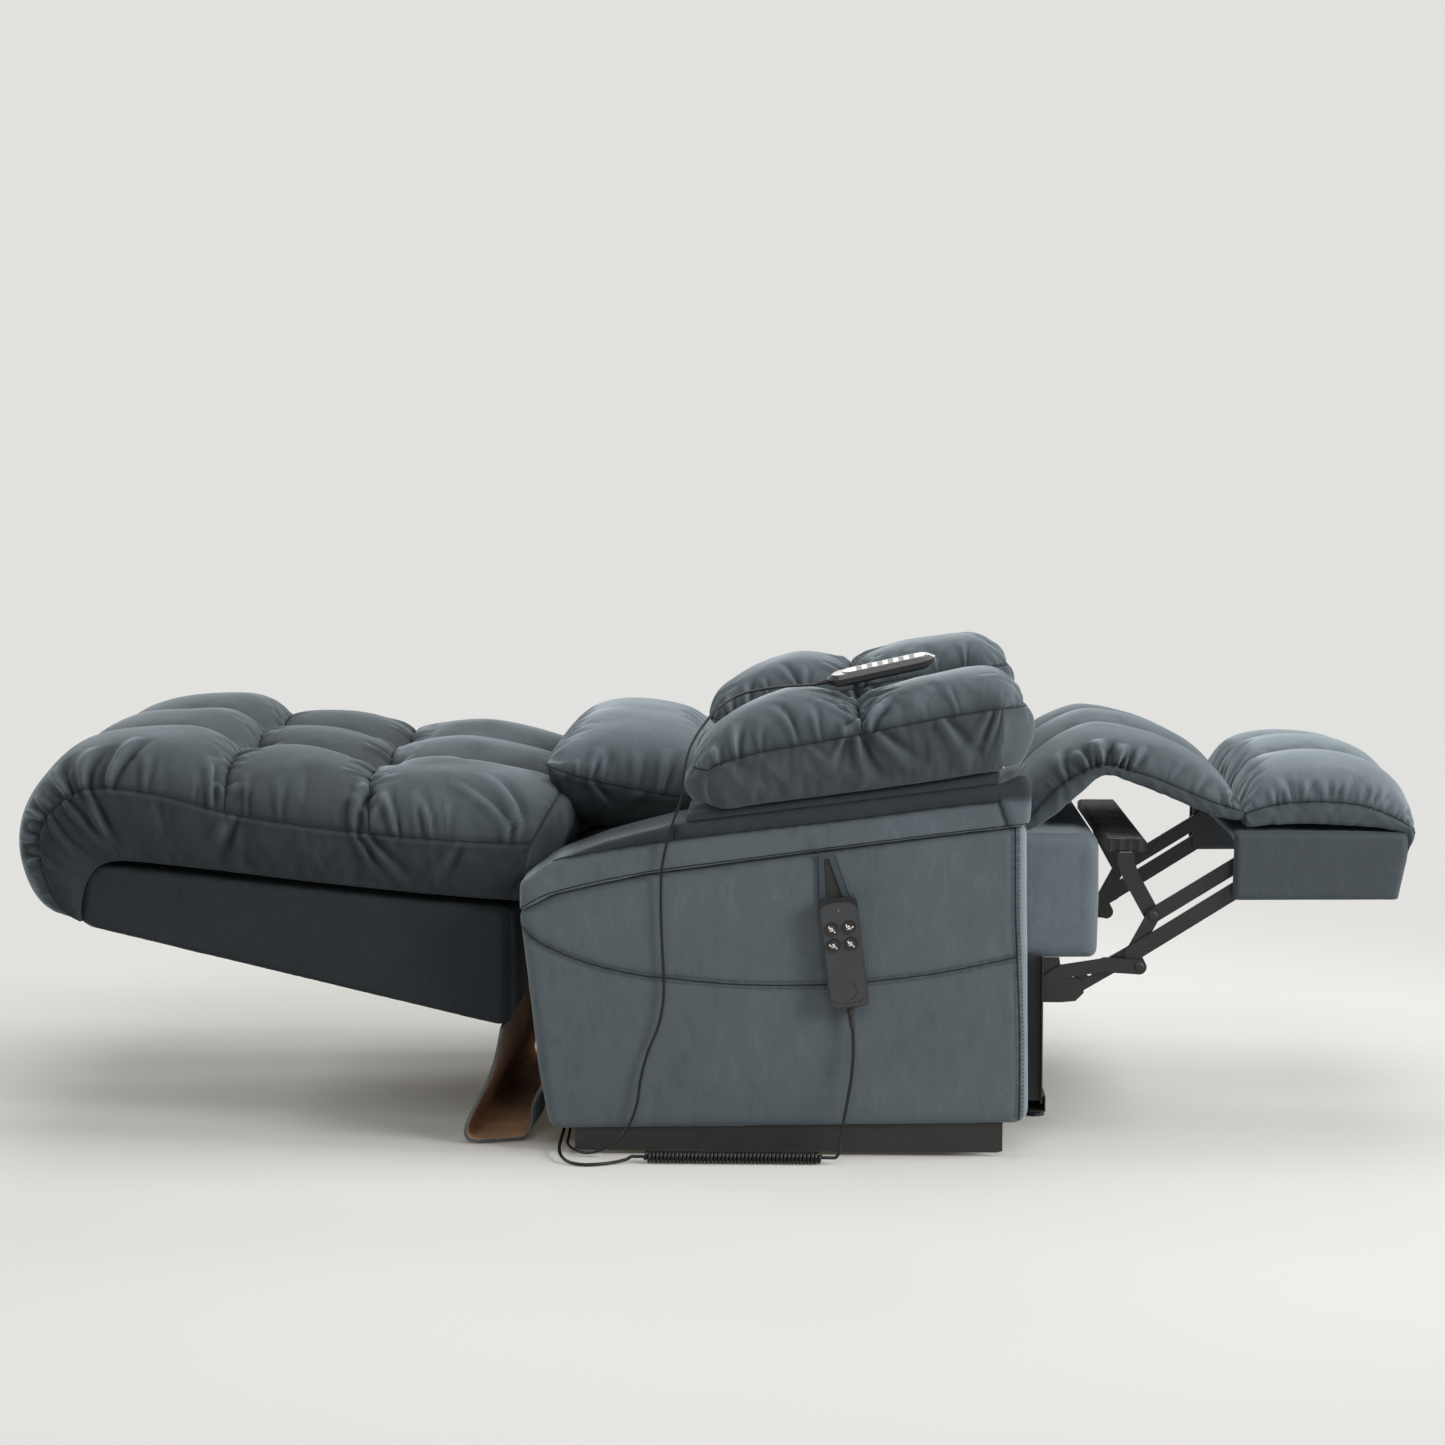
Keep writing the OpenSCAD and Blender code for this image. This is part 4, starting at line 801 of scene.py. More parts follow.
    def inflate(self, piece):
        """The cloth swells between its seams, held along them, and is capped."""
        t, v, g = self.layers(piece.data)
        start = coords(piece.data)
        held = (g > 0.9) | (self.seam_marks(t, v, g, 0.0035) > 0.5)
        group = piece.vertex_groups.new(name="held")
        group.add([int(i) for i in np.nonzero(held)[0]], 1.0, "REPLACE")
        cloth = piece.modifiers.new("swell", "CLOTH")
        for key, value in CLOTH_SETTINGS.items():
            setattr(cloth.settings, key, value)
        cloth.settings.effector_weights.gravity = 0
        cloth.collision_settings.use_collision = False
        cloth.point_cache.frame_start, cloth.point_cache.frame_end = 1, SWELL_FRAMES
        for step in range(1, SWELL_FRAMES + 1):
            scene.frame_set(step)
        apply_modifiers(piece)
        scene.frame_set(1)
        moved = coords(piece.data) - start
        far = np.linalg.norm(moved, axis=1)
        scale = np.where(far > 1e-9, self.cap * np.tanh(far / self.cap) / np.maximum(far, 1e-9), 0)
        set_coords(piece.data, start + moved * scale[:, None])
        piece.vertex_groups.clear()

    def seam_lines(self):
        """The finished seams: both sides, the ends, the rows and the columns."""
        co, t, v, g = self.final
        top = g < NEAR_ZERO
        lines = []
        for pick, order in ([(top & (np.abs(v - q) < 1e-4), t) for q in (-1, 1, *self.cols)]
                            + [(top & (np.abs(t - q) < 1e-4), v) for q in (0, 1, *self.rows)]):
            index = np.nonzero(pick)[0]
            if len(index) > 3:
                lines.append(co[index[np.argsort(order[index])]])
        return lines


# single folds in mm: start and end along the seam, reach, width, height
BACK_FOLDS = {
    "top": [(105, 100, 30, 6, 6), (136, 132, 34, 6, 9), (166, 158, 48, 6, 11), (214, 208, 72, 7, 12),
            (238, 250, 70, 8, 9), (272, 300, 90, 8, 10), (422, 402, 60, 7, 7), (628, 652, 90, 8, 8),
            (690, 672, 55, 7, 7), (742, 718, 45, 6, 5), (862, 800, 100, 7, 8), (850, 760, 70, 6, 5)],
    "wall": [(240, 246, 75, 8, 6), (205, 226, 70, 7, 5), (175, 160, 60, 7, 4), (455, 405, 70, 9, 6),
            (640, 700, 75, 8, 6), (625, 655, 60, 7, 4), (780, 735, 80, 9, 4)],
}
PAD_FOLDS = {
    "top": [(28, 40, 30, 6, 6), (60, 75, 40, 6, 6), (250, 290, 55, 7, 6), (150, 120, 45, 6, 4)],
    "wall": [(232, 258, 85, 8, 7), (258, 318, 70, 8, 5), (214, 196, 50, 7, 4), (350, 400, 80, 9, 5),
            (425, 380, 70, 8, 4)],
}
HUMP_FOLDS = {
    "top": [(118, 110, 34, 6, 10), (138, 138, 44, 6, 12), (158, 164, 36, 6, 11), (180, 190, 40, 6, 9),
            (330, 322, 50, 6, 8), (352, 350, 50, 6, 8)],
}

def arm_pillow(side, word, crowns):
    """The two-puff pillow of one arm; the far one reaches a little further to the front."""
    far = side > 0
    return Quilt(
        "arm_pillow_" + word, "arm_pad_" + word, "chassis", "velvet_trim",
        [[-30, 549], [0, 558], [62, 573], [124, 583], [190, 596], [247, 609], [308, 621], [370, 631],
         [410 + 8 * far, 635], [434 + 20 * far, 637]],
        [[-32, 501], [8, 492.6], [62, 499.5], [118, 506.6], [180, 514.8], [247, 524], [308, 533], [370, 543],
         [412, 548], [430 + 14 * far, 552]],
        crowns, 0.094, 0.082, rows=(0.48,), row_w=0.17, depth=(0.46, 0), special=PAD_FOLDS, draw=0.06, side=2.6,
        mesh=0.0045, cuts=14, seed=20 + side, shift_y=side * 0.364, pleats=(0.055, 0.045, 0.0052, 0.0045),
        row_pleats=(0.020, 0.075, 0.0048, 0.0065), gusset_pleats=(0.095, 0.080, 0.010, 0.0040), bulge=0.010,
        corner=0.10, round_x=(0.024, 0.034), end_swell=(0.010, 0.012), fill=0.85, tone=(0.32, -0.22), cap=0.007)


# tone paints each cushion's top and walls paler or darker as light and shade; shades paints the back's sections
# between its rows the same way.
QUILTS = [
    Quilt("tufted_back", "back_cushion", "backrest", "velvet",
          [[-914, 315], [-942, 348], [-962, 398], [-965, 442], [-943, 480], [-890, 509], [-790, 498], [-700, 473],
           [-595, 456], [-492, 443], [-377, 433], [-263, 428]],
          [[-909, 315], [-910, 335], [-903, 362], [-893, 380], [-880, 393], [-850, 399], [-780, 393.5], [-689, 384],
           [-585, 372], [-480, 361], [-385, 352], [-284, 343]],
          [0, 40, 46, 47, 50, 64, 86, 98, 98, 104, 106, 84], 0.352, 0.344, rows=(7 / 11, 9 / 11), depth=(0.2, 0.40),
          junction=0.5, cols=(-0.333, 0.333), side=4.6, far=0.08, end_swell=(0.0, 0.045),
          mesh=0.0055, turn=[0, -4, -6, 0, 2, 0, 4, 14, 12, 13, 4, -24], cuts=12, seed=3,
          lumps=0.004, pleats=(0.060, 0.060, 0.0060, 0.0040), row_pleats=(0.045, 0.055, 0.006, 0.0045),
          gusset_pleats=(0.14, 0.085, 0.010, 0.0035), corner=0.04, fill=0.75, tone=(-0.06, -0.6),
          shades=(-0.05, -0.2, 0.14), far_side=4.0, special=BACK_FOLDS),
    arm_pillow(-1, "right", [0, 32, 58, 70, 66, 48, 47, 50, 43, 0]),
    arm_pillow(1, "left", [0, 32, 56, 66, 62, 50, 47, 46, 42, 0]),
    Quilt("chaise_quilt", "chaise_pad", "carriage", "velvet_trim",
          [[446, 456], [468, 480], [503, 514], [548, 536], [568, 537], [590, 531], [636, 517], [690, 494],
           [735, 478], [758, 472]],
          [[444, 438.3], [468, 447], [512, 480], [548, 514], [568, 519], [590, 512], [636, 494], [690, 471],
           [740, 456], [760, 459]],
          [0, 40, 48, 50, 50, 52, 52, 46, 26, 0], 0.264, 0.260, cols=(-0.333, 0.333), depth=(0, 0.3), draw=0,
          cuts=3, seed=31, pleats=(0.030, 0.06, 0.0050, 0.0085), special=HUMP_FOLDS, gusset_h=0.02, bulge=0.003,
          tone=(0.08, 0.0), cap=0.008),
    Quilt("footrest_quilt", "footrest_pad", "footrest", "velvet_trim",
          [[758, 469], [790, 478], [830, 484], [880, 485], [930, 479], [968, 465], [992, 452], [1004, 441]],
          [[764, 446], [800, 449], [840, 450], [880, 449], [920, 447], [960, 444], [986, 436], [995, 410]],
          [0, 50, 62, 64, 60, 48, 30, 6], 0.268, 0.266, cols=(-0.333, 0.333), depth=(0, 0.22), draw=0, cuts=4,
          seed=41, pleats=(0.015, 0.042, 0.0046, 0.0056), gusset_h=0.03, bulge=0.005, tone=(0.62, 0.1), cap=0.008),
    Quilt("lumbar_bolster", "lumbar_pillow", "pillow", "velvet_trim",
          [[-251, 536], [-228, 524], [-195, 513], [-160, 505], [-125, 498], [-90, 491], [-55, 486], [-20, 486],
           [8, 492]],
          [[-240, 492], [-226, 472], [-200, 454], [-168, 440], [-134, 430], [-100, 425], [-66, 425], [-34, 429],
           [-4, 436]],
          [0, 46, 74, 90, 96, 98, 94, 72, 0], 0.250, 0.225, depth=(0, 0), draw=0, side=2.4, cuts=8, seed=51,
          pleats=(0.034, 0.06, 0.0056, 0.0085), gusset_pleats=(0.06, 0.06, 0.009, 0.0075), bulge=0.012,
          corner=0.02, fill=0.8, tone=(0.36, -0.66), turn=[30, 22, 12, 6, 4, 0, -6, -12, -20]),
    Quilt("seat_squab", "seat_cushion", "carriage", "velvet",
          [[-150, 396], [-60, 402], [100, 410], [300, 420], [428, 428]],
          [[-150, 318.3], [-60, 318.3], [100, 318.3], [300, 318.3], [428, 318.3]],
          [0, 22, 19, 32, 0], 0.265, 0.258, depth=(0, 0), draw=0, mesh=0.012, cuts=4, seed=61, bulge=0.003,
          lumps=0.001, cap=0.006),
]


def cushions():
    for quilt in QUILTS:
        piece = quilt.build()
        seams = thread(quilt.name + "_seams", quilt.seam_lines(), SEAM_THREAD, seam_thread, quilt.body,
                       quilt.slot)
        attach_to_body(piece, quilt.body)
        if quilt.name == "chaise_quilt":
            for part in (piece, seams):
                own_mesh(part)
        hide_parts(quilt.node)


cushions()


# ---- upholstered boxes

def upholster(name, node, body, slot, material, voxel, crown=0.0, smooth_steps=2, seed=1, ripple=0.0006, tone=0.0):
    """Velvet over a board or frame: the solid's edges rounded off, its faces slightly full."""
    bm = solid_copy(node)
    piece = new_piece(name, bm, material, None)
    wrap = piece.modifiers.new("wrap", "REMESH")
    wrap.mode = "VOXEL"
    wrap.voxel_size = voxel
    wrap.use_smooth_shade = True
    ease = piece.modifiers.new("ease", "SMOOTH")
    ease.factor, ease.iterations = 0.5, smooth_steps
    apply_modifiers(piece)
    mesh = piece.data
    co, no = coords(mesh), normals(mesh)
    low, high = co.min(0), co.max(0)
    lift = np.zeros(len(co))
    if crown:
        flat = np.abs(no[:, 1]) > 0.85
        u = (co[:, 0] - low[0]) / (high[0] - low[0])
        w = (co[:, 2] - low[2]) / (high[2] - low[2])
        lift += np.where(flat, crown * np.clip(16 * u * (1 - u) * w * (1 - w), 0, 1) ** 0.5, 0)
    lift += (ripple * noise_along(seed, co[:, 0] + 0.3 * co[:, 2], 0.21)
             * noise_along(seed + 1, co[:, 2] - 0.4 * co[:, 0], 0.17))
    set_coords(mesh, co + no * lift[:, None])
    even_layer(piece, "seam", 0.0)
    even_layer(piece, "tone", tone)
    mesh.shade_smooth()
    if not mesh.materials:
        mesh.materials.append(material)
    attach(piece, body, slot)
    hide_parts(node)
    return piece


def press_seams(piece, lines, depth, width, mark_width=0.004):
    """Draws the cloth in along sewn lines and paints shade along them."""
    mesh = piece.data
    co, no = coords(mesh), normals(mesh)
    dense = np.concatenate([np.array(smooth(line, 12)) for line in lines])
    off = np.full(len(co), 1e9)
    for k in range(0, len(dense), 60):
        off = np.minimum(off, np.linalg.norm(co[:, None, :] - dense[None, k:k + 60, :], axis=2).min(1))
    lift = -depth * np.exp(-(off / width) ** 2) + 0.35 * depth * np.exp(-((off - 1.8 * width) / width) ** 2)
    set_coords(mesh, co + no * lift[:, None])
    before = read(mesh.attributes["seam"].data, "value")
    add_layer(mesh, "seam", np.maximum(before, np.exp(-(off / mark_width) ** 1.5)))


def surface_line(piece, points, away, steps=10, lift=0.0004):
    """Points of a smooth line laid onto a piece, seen from one side."""
    bm = bmesh.new()
    bm.from_mesh(piece.data)
    tree = BVHTree.FromBMesh(bm)
    found = []
    for p in smooth(points, steps):
        hit = tree.ray_cast(Vector(p) + Vector(away) * 0.1, -Vector(away))
        if hit[0] is not None:
            found.append(tuple(hit[0] + hit[1] * lift))
    bm.free()
    return found


def resample(line, step):
    """Points at equal steps along a line."""
    pts = [Vector(p) for p in line]
    out, carry = [pts[0]], 0.0
    for a, b in zip(pts, pts[1:]):
        d = (b - a).length
        while carry + d >= step:
            a = a.lerp(b, (step - carry) / d)
            out.append(a.copy())
            d, carry = (b - a).length, 0.0
        carry += d
    return out


def stitches(name, lines, body, slot, long=0.0042, gap=0.0018, radius=0.00055):
    """Rows of topstitching: short round dashes laid on the cloth."""
    dashes = []
    for line in lines:
        if len(line) >= 3:
            pts = [tuple(p) for p in resample(line, (long + gap) / 4)]
            dashes += [pts[i:i + 3] for i in range(0, len(pts) - 3, 4)]
    return thread(name, dashes, radius, stitch_thread, body, slot)


def side_line(points, y, dx=0.0, dz=0.0):
    """A line given in mm as X and Z, at one Y."""
    return [(x / 1000 + dx, y, z / 1000 + dz) for x, z in points]


# lines on the sides of the arms, in mm as X and Z
BAND_EDGE = [(-272, 347), (-224, 372), (-100, 400), (50, 421), (200, 441.2), (350, 460.6), (436, 471)]
BAND_ROLL = [(-249, 402), (-218, 420), (-166, 432), (-73, 447), (41, 462), (196, 480), (304, 495), (400, 506)]
BAND_MITRES = [[(397, 507), (403, 490), (410, 470)], [(-52, 451), (-53, 470)]]
PANEL_SWEEP = [(-269, 325), (-249, 307), (-211, 288), (-165, 272), (-107, 259), (-49, 253), (35, 246), (151, 246),
               (228, 252), (318, 264), (424, 286)]
PANEL_UPRIGHT = [(420, 468), (421, 349), (424, 284), (428, 186), (429, 88), (428, 55)]
ARM_SIDE = 0.430
ROW_GAP = 0.005


def above_roll(co):
    """0 below the roll line of the bands, 1 above it."""
    x, z = np.array(BAND_ROLL).T / 1000
    return np.clip((co[:, 2] - np.interp(co[:, 0], x, z)) / 0.008 + 0.5, 0, 1)


def arms():
    for side, word in ((-1, "right"), (1, "left")):
        panel = upholster("arm_panel_" + word, "arm_" + word, "chassis", "velvet", velvet_panel, 0.006, crown=0.003,
                          seed=70 + side)
        y, away = side * ARM_SIDE, (0, side, 0)
        sweep, upright = side_line(PANEL_SWEEP, y), side_line(PANEL_UPRIGHT, y)
        press_seams(panel, [sweep, upright], 0.0016, 0.007)
        spots = coords(panel.data)
        front = np.interp(spots[:, 2], (0.055, 0.186, 0.349, 0.468), (0.429, 0.429, 0.422, 0.421))
        shade = above_roll(spots)
        # Painted light: the panel is darker above the roll line as painted shade, and paler on its narrow front edge
        # as a painted highlight.
        add_layer(panel.data, "tone", -0.5 * shade + 0.75 * (1 - shade) * np.clip((spots[:, 0] - front) / 0.005, 0, 1))
        seams = [surface_line(panel, line, away, 30) for line in (sweep, upright)]
        thread("arm_seams_" + word, seams, 0.0008, seam_thread, "chassis", "velvet")
        rows = [side_line(PANEL_SWEEP, y, dz=gap) for gap in (-ROW_GAP, ROW_GAP)]
        rows += [side_line(PANEL_UPRIGHT, y, dx=gap) for gap in (-ROW_GAP, ROW_GAP)]
        stitches("arm_stitches_" + word, [surface_line(panel, row, away, 60, 0.0003) for row in rows], "chassis",
                 "velvet")
    bands = upholster("arm_top_bands", "arm_bands", "chassis", "velvet_trim", velvet_trim, 0.005, seed=77)
    # Painted light and shade: the strip below the roll line is paler and the roll above it darker.
    add_layer(bands.data, "tone", 0.55 - 1.05 * above_roll(coords(bands.data)))
    low, roll = [], []
    for side in (-1, 1):
        y, away = side * ARM_SIDE, (0, side, 0)
        low.append(surface_line(bands, side_line(BAND_EDGE, y, dz=0.003), away, 12, 0.0002))
        roll += [surface_line(bands, side_line(line, y), away, 12, 0.0002) for line in (BAND_ROLL, *BAND_MITRES)]
    press_seams(bands, [line[::6] for line in roll if len(line) > 12], 0.0016, 0.006, 0.0035)
    thread("band_seams", [line for line in low + roll if len(line) > 3], 0.0009, seam_thread, "chassis",
           "velvet_trim")


arms()


def decks():
    bm = solid_copy("arm_decks")
    round_edges(bm, 0.0035, 3)
    boards = new_piece("arm_boards", bm, velvet_trim, "chassis", "velvet_trim", flat=True)
    even_layer(boards, "tone", -0.45)
    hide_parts("arm_decks")


decks()


def dust_hems():
    """A black sheet under each arm, turned down at its outer side: painted shade for the dark band between the arm and
    the floor.
    """
    outline = [(-0.196, 0.0395), (-0.196, 0.008), (-0.188, 0.006), (0.398, 0.006), (0.406, 0.008), (0.406, 0.0505)]
    for side, word in ((-1, "right"), (1, "left")):
        hem = slab(outline, side * 0.4185 - 0.001, side * 0.4185 + 0.001)
        new_piece("shade_hem_" + word, hem, paint["boot_rubber"], "chassis", "boot_plastic", flat=True)


dust_hems()

# One velvet at three tones: the shell darker, the front block paler and the footrest box darker, partly from a
# different lie of the pile and partly as painted light and shade.
upholster("back_shell_cover", "back_shell", "backrest", "velvet", velvet_panel, 0.006, crown=0.004, seed=81,
          smooth_steps=4, tone=-0.75)
upholster("seat_front_cover", "seat_front_block", "carriage", "velvet", velvet_panel, 0.006, crown=0.003, seed=83,
          tone=0.25)
upholster("footrest_box_cover", "footrest_box", "footrest", "velvet", velvet_panel, 0.005, seed=85, tone=-0.38)


STRAP_EDGES = [[(145.6, 431), (147.4, 357)], [(154.6, 424), (157.4, 369)], [(160.6, 424), (180.4, 369)],
               [(167.8, 431), (192, 366)]]


def strap():
    """The hanging loop of the handset, with dark sewn lines along its edges and a black tab behind it; the lines and
    the tab are partly real and partly painted shade.
    """
    bm = solid_copy("handset_strap")
    for vert in bm.verts:
        if vert.co.y < -0.434:
            vert.co.y -= 0.0014
    round_edges(bm, 0.0011, 3)
    piece = new_piece("strap_loop", bm, velvet_trim, "chassis", "velvet_trim", flat=True)
    even_layer(piece, "tone", -0.08)
    # Dark threads on the strap's edges: stitching, and painted shade for the dark outline beside the strap.
    thread("strap_edge_stitches_and_shade", [side_line(line, -0.4357) for line in STRAP_EDGES], 0.0006, seam_thread, "chassis",
           "velvet_trim")
    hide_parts("handset_strap")
    # A black tab filling the loop's opening: a hanger piece, and painted shade inside the loop.
    tab = slab([(0.1545, 0.4245), (0.1605, 0.4245), (0.1815, 0.3685), (0.1565, 0.3685)], -0.4341, -0.4325)
    new_piece("hanger_tab_and_shade", tab, paint["boot_rubber"], "chassis", "gloss_black", flat=True)


strap()


# ---- rear flap

FLAP_LINE = [(-307, 164.2), (-317, 118), (-331, 81), (-348, 49), (-357.5, 25), (-356, 11), (-346, 5), (-328, 4.2),
             (-300, 4.2), (-277, 4.8), (-266, 14), (-263, 30), (-262, 50), (-256, 64), (-249, 76), (-240.8, 92)]


FLAP_HALF, FLAP_THICK, FLAP_LOWEST, FLAP_WAVE = 0.335, 0.0045, 0.0042, 0.0022


def flap():
    """A cloth flap from the back's lower edge, folded on the floor, its tan lining out."""
    path = np.array(smooth([(x / 1000, z / 1000) for x, z in FLAP_LINE], 12))
    steps = np.linalg.norm(np.diff(path, axis=0), axis=1)
    run = np.concatenate([[0], np.cumsum(steps)])
    length, half = run[-1], FLAP_HALF
    bm = bmesh.new()
    bmesh.ops.create_grid(bm, x_segments=90, y_segments=70, size=1.0)
    for vert in bm.verts:
        s, v = (vert.co.x + 1) / 2 * length, vert.co.y
        x, z = (np.interp(s, run, path[:, k]) for k in (0, 1))
        part = s / length
        loose = math.sin(math.pi * min(part * 1.15, 1)) ** 2
        wave = FLAP_WAVE * math.sin(v * 9 + s * 14) * math.sin(math.pi * part)
        across = (v + 1) / 2
        lean = 0.042 * across * min(part / 0.2, 1) * min(max((0.85 - part) / 0.3, 0), 1)
        near, other = -half - 0.030 * loose, half - 0.085 * loose
        vert.co = (x - wave + lean, near + across * (other - near), max(z, FLAP_LOWEST))
    bmesh.ops.recalc_face_normals(bm, faces=bm.faces)
    middles = [(f, f.calc_center_median()) for f in bm.faces]
    if sum(f.normal.x for f, at in middles if at.z > 0.05 and at.x < -0.31) > 0:
        bmesh.ops.reverse_faces(bm, faces=bm.faces)
    piece = new_piece("folded_flap", bm, [velvet_trim, flap_lining, flap_edge], None)
    even_layer(piece, "seam", 0.0)
    even_layer(piece, "tone", -0.2)
    thick = piece.modifiers.new("thickness", "SOLIDIFY")
    thick.thickness = FLAP_THICK
    thick.offset = 0.0
    thick.material_offset = 1
    thick.material_offset_rim = 2
    apply_modifiers(piece)
    piece.data.shade_smooth()
    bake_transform(piece)
    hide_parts("rear_flap")


flap()


# ---- handset symbols and rivets

def stroke(bm, a, b, wide, thick):
    """A flat rounded bar between two points of a button's face."""
    a, b = Vector((*a, 0)), Vector((*b, 0))
    made = bmesh.ops.create_cube(bm, size=1.0)
    turn = Matrix.Rotation(math.atan2(b.y - a.y, b.x - a.x), 4, "Z")
    size = Matrix.Diagonal(((b - a).length + wide, wide, thick, 1))
    bmesh.ops.transform(bm, matrix=Matrix.Translation((a + b) / 2) @ turn @ size, verts=made["verts"])


KEYS = {"back_up": (-1, 1), "back_down": (-1, 0), "legs_up": (1, 1), "legs_down": (1, 0)}
SYMBOL_THICK = 0.0003


def symbols():
    """A small seat with its back or its footrest up or down, on each button."""
    for key, (col, row) in KEYS.items():
        up, legs = key.endswith("up"), key.startswith("legs")
        bm = bmesh.new()
        stroke(bm, (-0.0024, -0.0012), (0.0018, -0.0012), 0.0026, SYMBOL_THICK)
        stroke(bm, (-0.0026, -0.0008), (-0.0036, 0.0040) if up or legs else (-0.0058, 0.0016), 0.0019, SYMBOL_THICK)
        leg = ((0.0022, -0.0010), (0.0058, 0.0008)) if up and legs else ((0.0022, -0.0012), (0.0036, -0.0046))
        stroke(bm, *leg, 0.0015, SYMBOL_THICK)
        stroke(bm, (-0.0008, 0.0018), (0.0002, 0.0018), 0.0022, SYMBOL_THICK)
        spot = (col * 0.012, (0.013, 0.036)[row], -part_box("button_" + key)[0].y)
        new_piece("symbol_" + key, turned(bm, handset_face @ Matrix.Translation(spot)), paint["symbol_white"],
                  "key_" + key, "button_plastic", flat=True)


symbols()

# the cap's rim and the lip at the handset's foot, in mm from its middle
CAP = [(-27, 61), (-24.5, 66), (-18, 70), (-9, 72), (0, 72.6), (9, 72), (18, 70), (24.5, 66), (27, 61), (27, 69),
       (24.6, 74.4), (18, 76.8), (-18, 76.8), (-24.6, 74.4), (-27, 69)]
LIP = [(-24.5, -61), (-20, -66), (-12, -69), (0, -70), (12, -69), (20, -66), (24.5, -61)]


def handset_details():
    """The black cap over the handset's head, its small lamp and a dark line of painted shade along the lip at its
    foot.
    """
    face = -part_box("handset_case")[0].y
    bm = bmesh.new()
    rings = [[bm.verts.new((x / 1000, z / 1000, face + d)) for x, z in CAP] for d in (-0.0031, 0.0005)]
    bm.faces.new(rings[0][::-1])
    bm.faces.new(rings[1])
    for i in range(len(CAP)):
        k = (i + 1) % len(CAP)
        bm.faces.new((rings[0][i], rings[0][k], rings[1][k], rings[1][i]))
    new_piece("handset_cap", turned(bm, handset_face), paint["gloss_black"], "chassis", "gloss_black", flat=True)
    # Painted shade: a dark thread along the crease above the handset's lip.
    lip = [tuple(handset_face @ Vector((x / 1000, z / 1000, face))) for x, z in LIP]
    thread("handset_lip_shade", [smooth(lip, 6)], 0.0006, paint["key_black"], "chassis", "gloss_black")
    bm = bmesh.new()
    stroke(bm, (0, 0.059), (0, 0.063), 0.0008, 0.0005)
    new_piece("handset_lamp", turned(bm, handset_face @ Matrix.Translation((0, 0, face))), paint["keypad_silver"],
              "chassis", "button_plastic", flat=True)


handset_details()

KEY_SIZE, KEY_LIFT = (0.0075, 0.0062, 0.0010), 0.0006


def remote_keys():
    """Low keys in rows on the massage remote."""
    bm = bmesh.new()
    for row in range(6):
        for col in (-1, 0, 1):
            made = bmesh.ops.create_cube(bm, size=1.0)
            bmesh.ops.scale(bm, vec=KEY_SIZE, verts=made["verts"])
            bmesh.ops.translate(bm, vec=(-0.036 + 0.0150 * row, col * 0.0086, 0), verts=made["verts"])
    round_edges(bm, 0.0003, 1)
    low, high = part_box("remote_keypad")
    at = (Vector(low) + Vector(high)) / 2 + remote_turn @ Vector((0, 0, KEY_LIFT))
    new_piece("remote_keys", turned(bm, Matrix.Translation(at) @ remote_turn.to_4x4()), paint["remote_key_grey"],
              "chassis", "button_plastic", flat=True)


remote_keys()

RIVET_RADIUS, RIVET_HEIGHT = 0.0075, 0.0022
RIVETS = {"second_link_pair": [(0.4534, 0.2052, 0.2600), (0.6110, 0.2430, 0.2600)],
          "rear_link_pair": [(0.6310, 0.3160, 0.2512)],
          "footrest": [(0.7600, 0.3620, 0.2576), (0.7880, 0.4140, 0.2512)]}


def rivets():
    """Domed rivet heads on both sides of the footrest links."""
    for body, places in RIVETS.items():
        bm = bmesh.new()
        for x, z, y in places:
            for side in (-1, 1):
                made = bmesh.ops.create_uvsphere(bm, u_segments=20, v_segments=10, radius=RIVET_RADIUS)
                bmesh.ops.scale(bm, vec=(1, RIVET_HEIGHT / RIVET_RADIUS, 1), verts=made["verts"])
                bmesh.ops.translate(bm, vec=(x, side * y, z), verts=made["verts"])
        new_piece("rivets_" + body, bm, paint["link_paint"], body, "link_steel")


rivets()


# ---- studio

FAR_TONE = (0.760, 0.756, 0.738, 1)
LAMP_TINT = (1.0, 0.985, 0.96)
# place, aim, width, height, watts
LAMPS = {"key_panel": ((6.0, -0.5, 4.0), (0.0, 0.0, 0.2), 2.2, 2.2, 232.0),
         "low_side_panel": ((6.5, -3.2, 2.0), (0.1, 0.0, 0.3), 1.6, 1.6, 121.0),
         "corner_panel": ((6.0, -4.0, 4.0), (0.0, 0.0, 0.3), 2.0, 2.0, 262.0),
         "left_panel": ((-6.0, 0.0, 3.5), (0.0, 0.0, 0.3), 3.0, 3.0, 195.0),
         "rear_panel": ((0.0, 4.5, 3.5), (0.0, 0.0, 0.3), 4.0, 2.0, 103.0),
         "front_panel": ((0.0, -5.0, 4.5), (0.0, 0.0, 0.3), 3.0, 3.0, 85.0),
         "top_panel": ((0.0, 0.4, 4.0), (0.0, 0.0, 0.0), 3.0, 3.0, 55.0)}


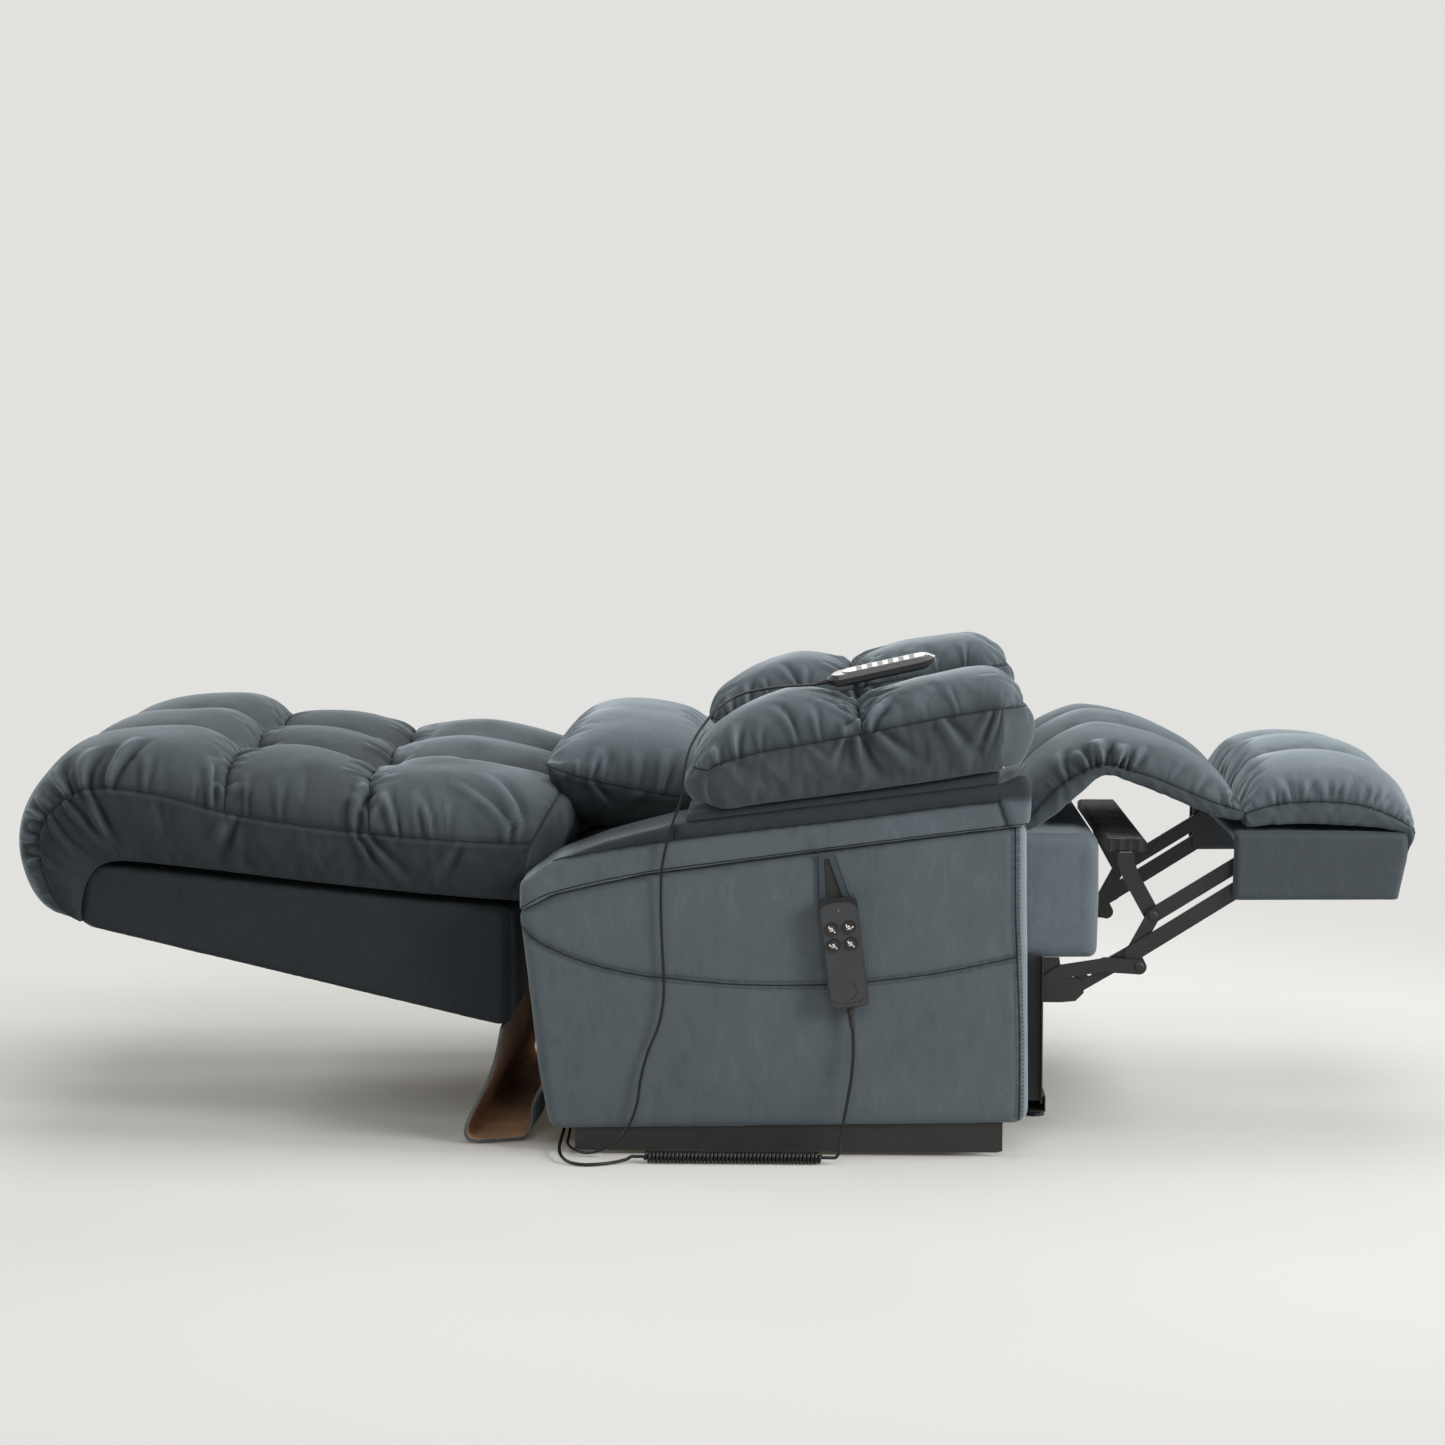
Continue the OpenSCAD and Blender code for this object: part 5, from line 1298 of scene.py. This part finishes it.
def backdrop_material():
    """Paper that fades to one even tone away from the chair."""
    material = bpy.data.materials.new("studio_floor")
    tree = empty_tree(material)
    paper = add(tree, "ShaderNodeBsdfDiffuse", Color=(0.645, 0.647, 0.645, 1))
    # Painted light: a faint warm glow in the paper that lightens the shadows on the floor.
    lift = add(tree, "ShaderNodeEmission", Color=(0.050, 0.044, 0.032, 1))
    near = add(tree, "ShaderNodeAddShader", [(paper.outputs[0], 0), (lift.outputs[0], 1)])
    far = add(tree, "ShaderNodeEmission", Color=FAR_TONE)
    distance = add(tree, "ShaderNodeVectorMath", [(own_place(tree), 0)], operation="LENGTH")
    fade = add(tree, "ShaderNodeMapRange", [(distance.outputs["Value"], "Value")], interpolation_type="SMOOTHSTEP",
               From_Min=1.0, From_Max=2.3)
    mix = add(tree, "ShaderNodeMixShader", [(fade.outputs[0], 0), (near.outputs[0], 1), (far.outputs[0], 2)])
    add(tree, "ShaderNodeOutputMaterial", [(mix.outputs[0], "Surface")])
    return material


def studio():
    bm = bmesh.new()
    bmesh.ops.create_grid(bm, x_segments=2, y_segments=2, size=30.0)
    new_piece("studio_floor", bm, backdrop_material())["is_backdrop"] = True
    scene.world = bpy.data.worlds.new("studio_air")
    tree = empty_tree(scene.world)
    light = add(tree, "ShaderNodeBackground", Strength=0.03, Color=(0.96, 0.98, 1.0, 1))
    seen = add(tree, "ShaderNodeBackground", Strength=1.0, Color=FAR_TONE)
    path = add(tree, "ShaderNodeLightPath")
    camera, glossy, through = (path.outputs["Is %s Ray" % kind] for kind in ("Camera", "Glossy", "Transmission"))
    clear = maths(tree, "MAXIMUM", maths(tree, "MAXIMUM", camera, glossy), through)
    mix = add(tree, "ShaderNodeMixShader", [(clear, 0), (light.outputs[0], 1), (seen.outputs[0], 2)])
    add(tree, "ShaderNodeOutputWorld", [(mix.outputs[0], "Surface")])
    for name, (at, to, wide, tall, power) in LAMPS.items():
        lamp = bpy.data.lights.new(name, "AREA")
        lamp.shape = "RECTANGLE"
        lamp.size, lamp.size_y = wide, tall
        lamp.energy = power
        lamp.color = LAMP_TINT
        holder = add_object(name, lamp)
        holder.location = at
        holder.rotation_euler = (Vector(to) - Vector(at)).to_track_quat("-Z", "Y").to_euler()
    scene.view_settings.view_transform = "Standard"


studio()

low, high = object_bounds()
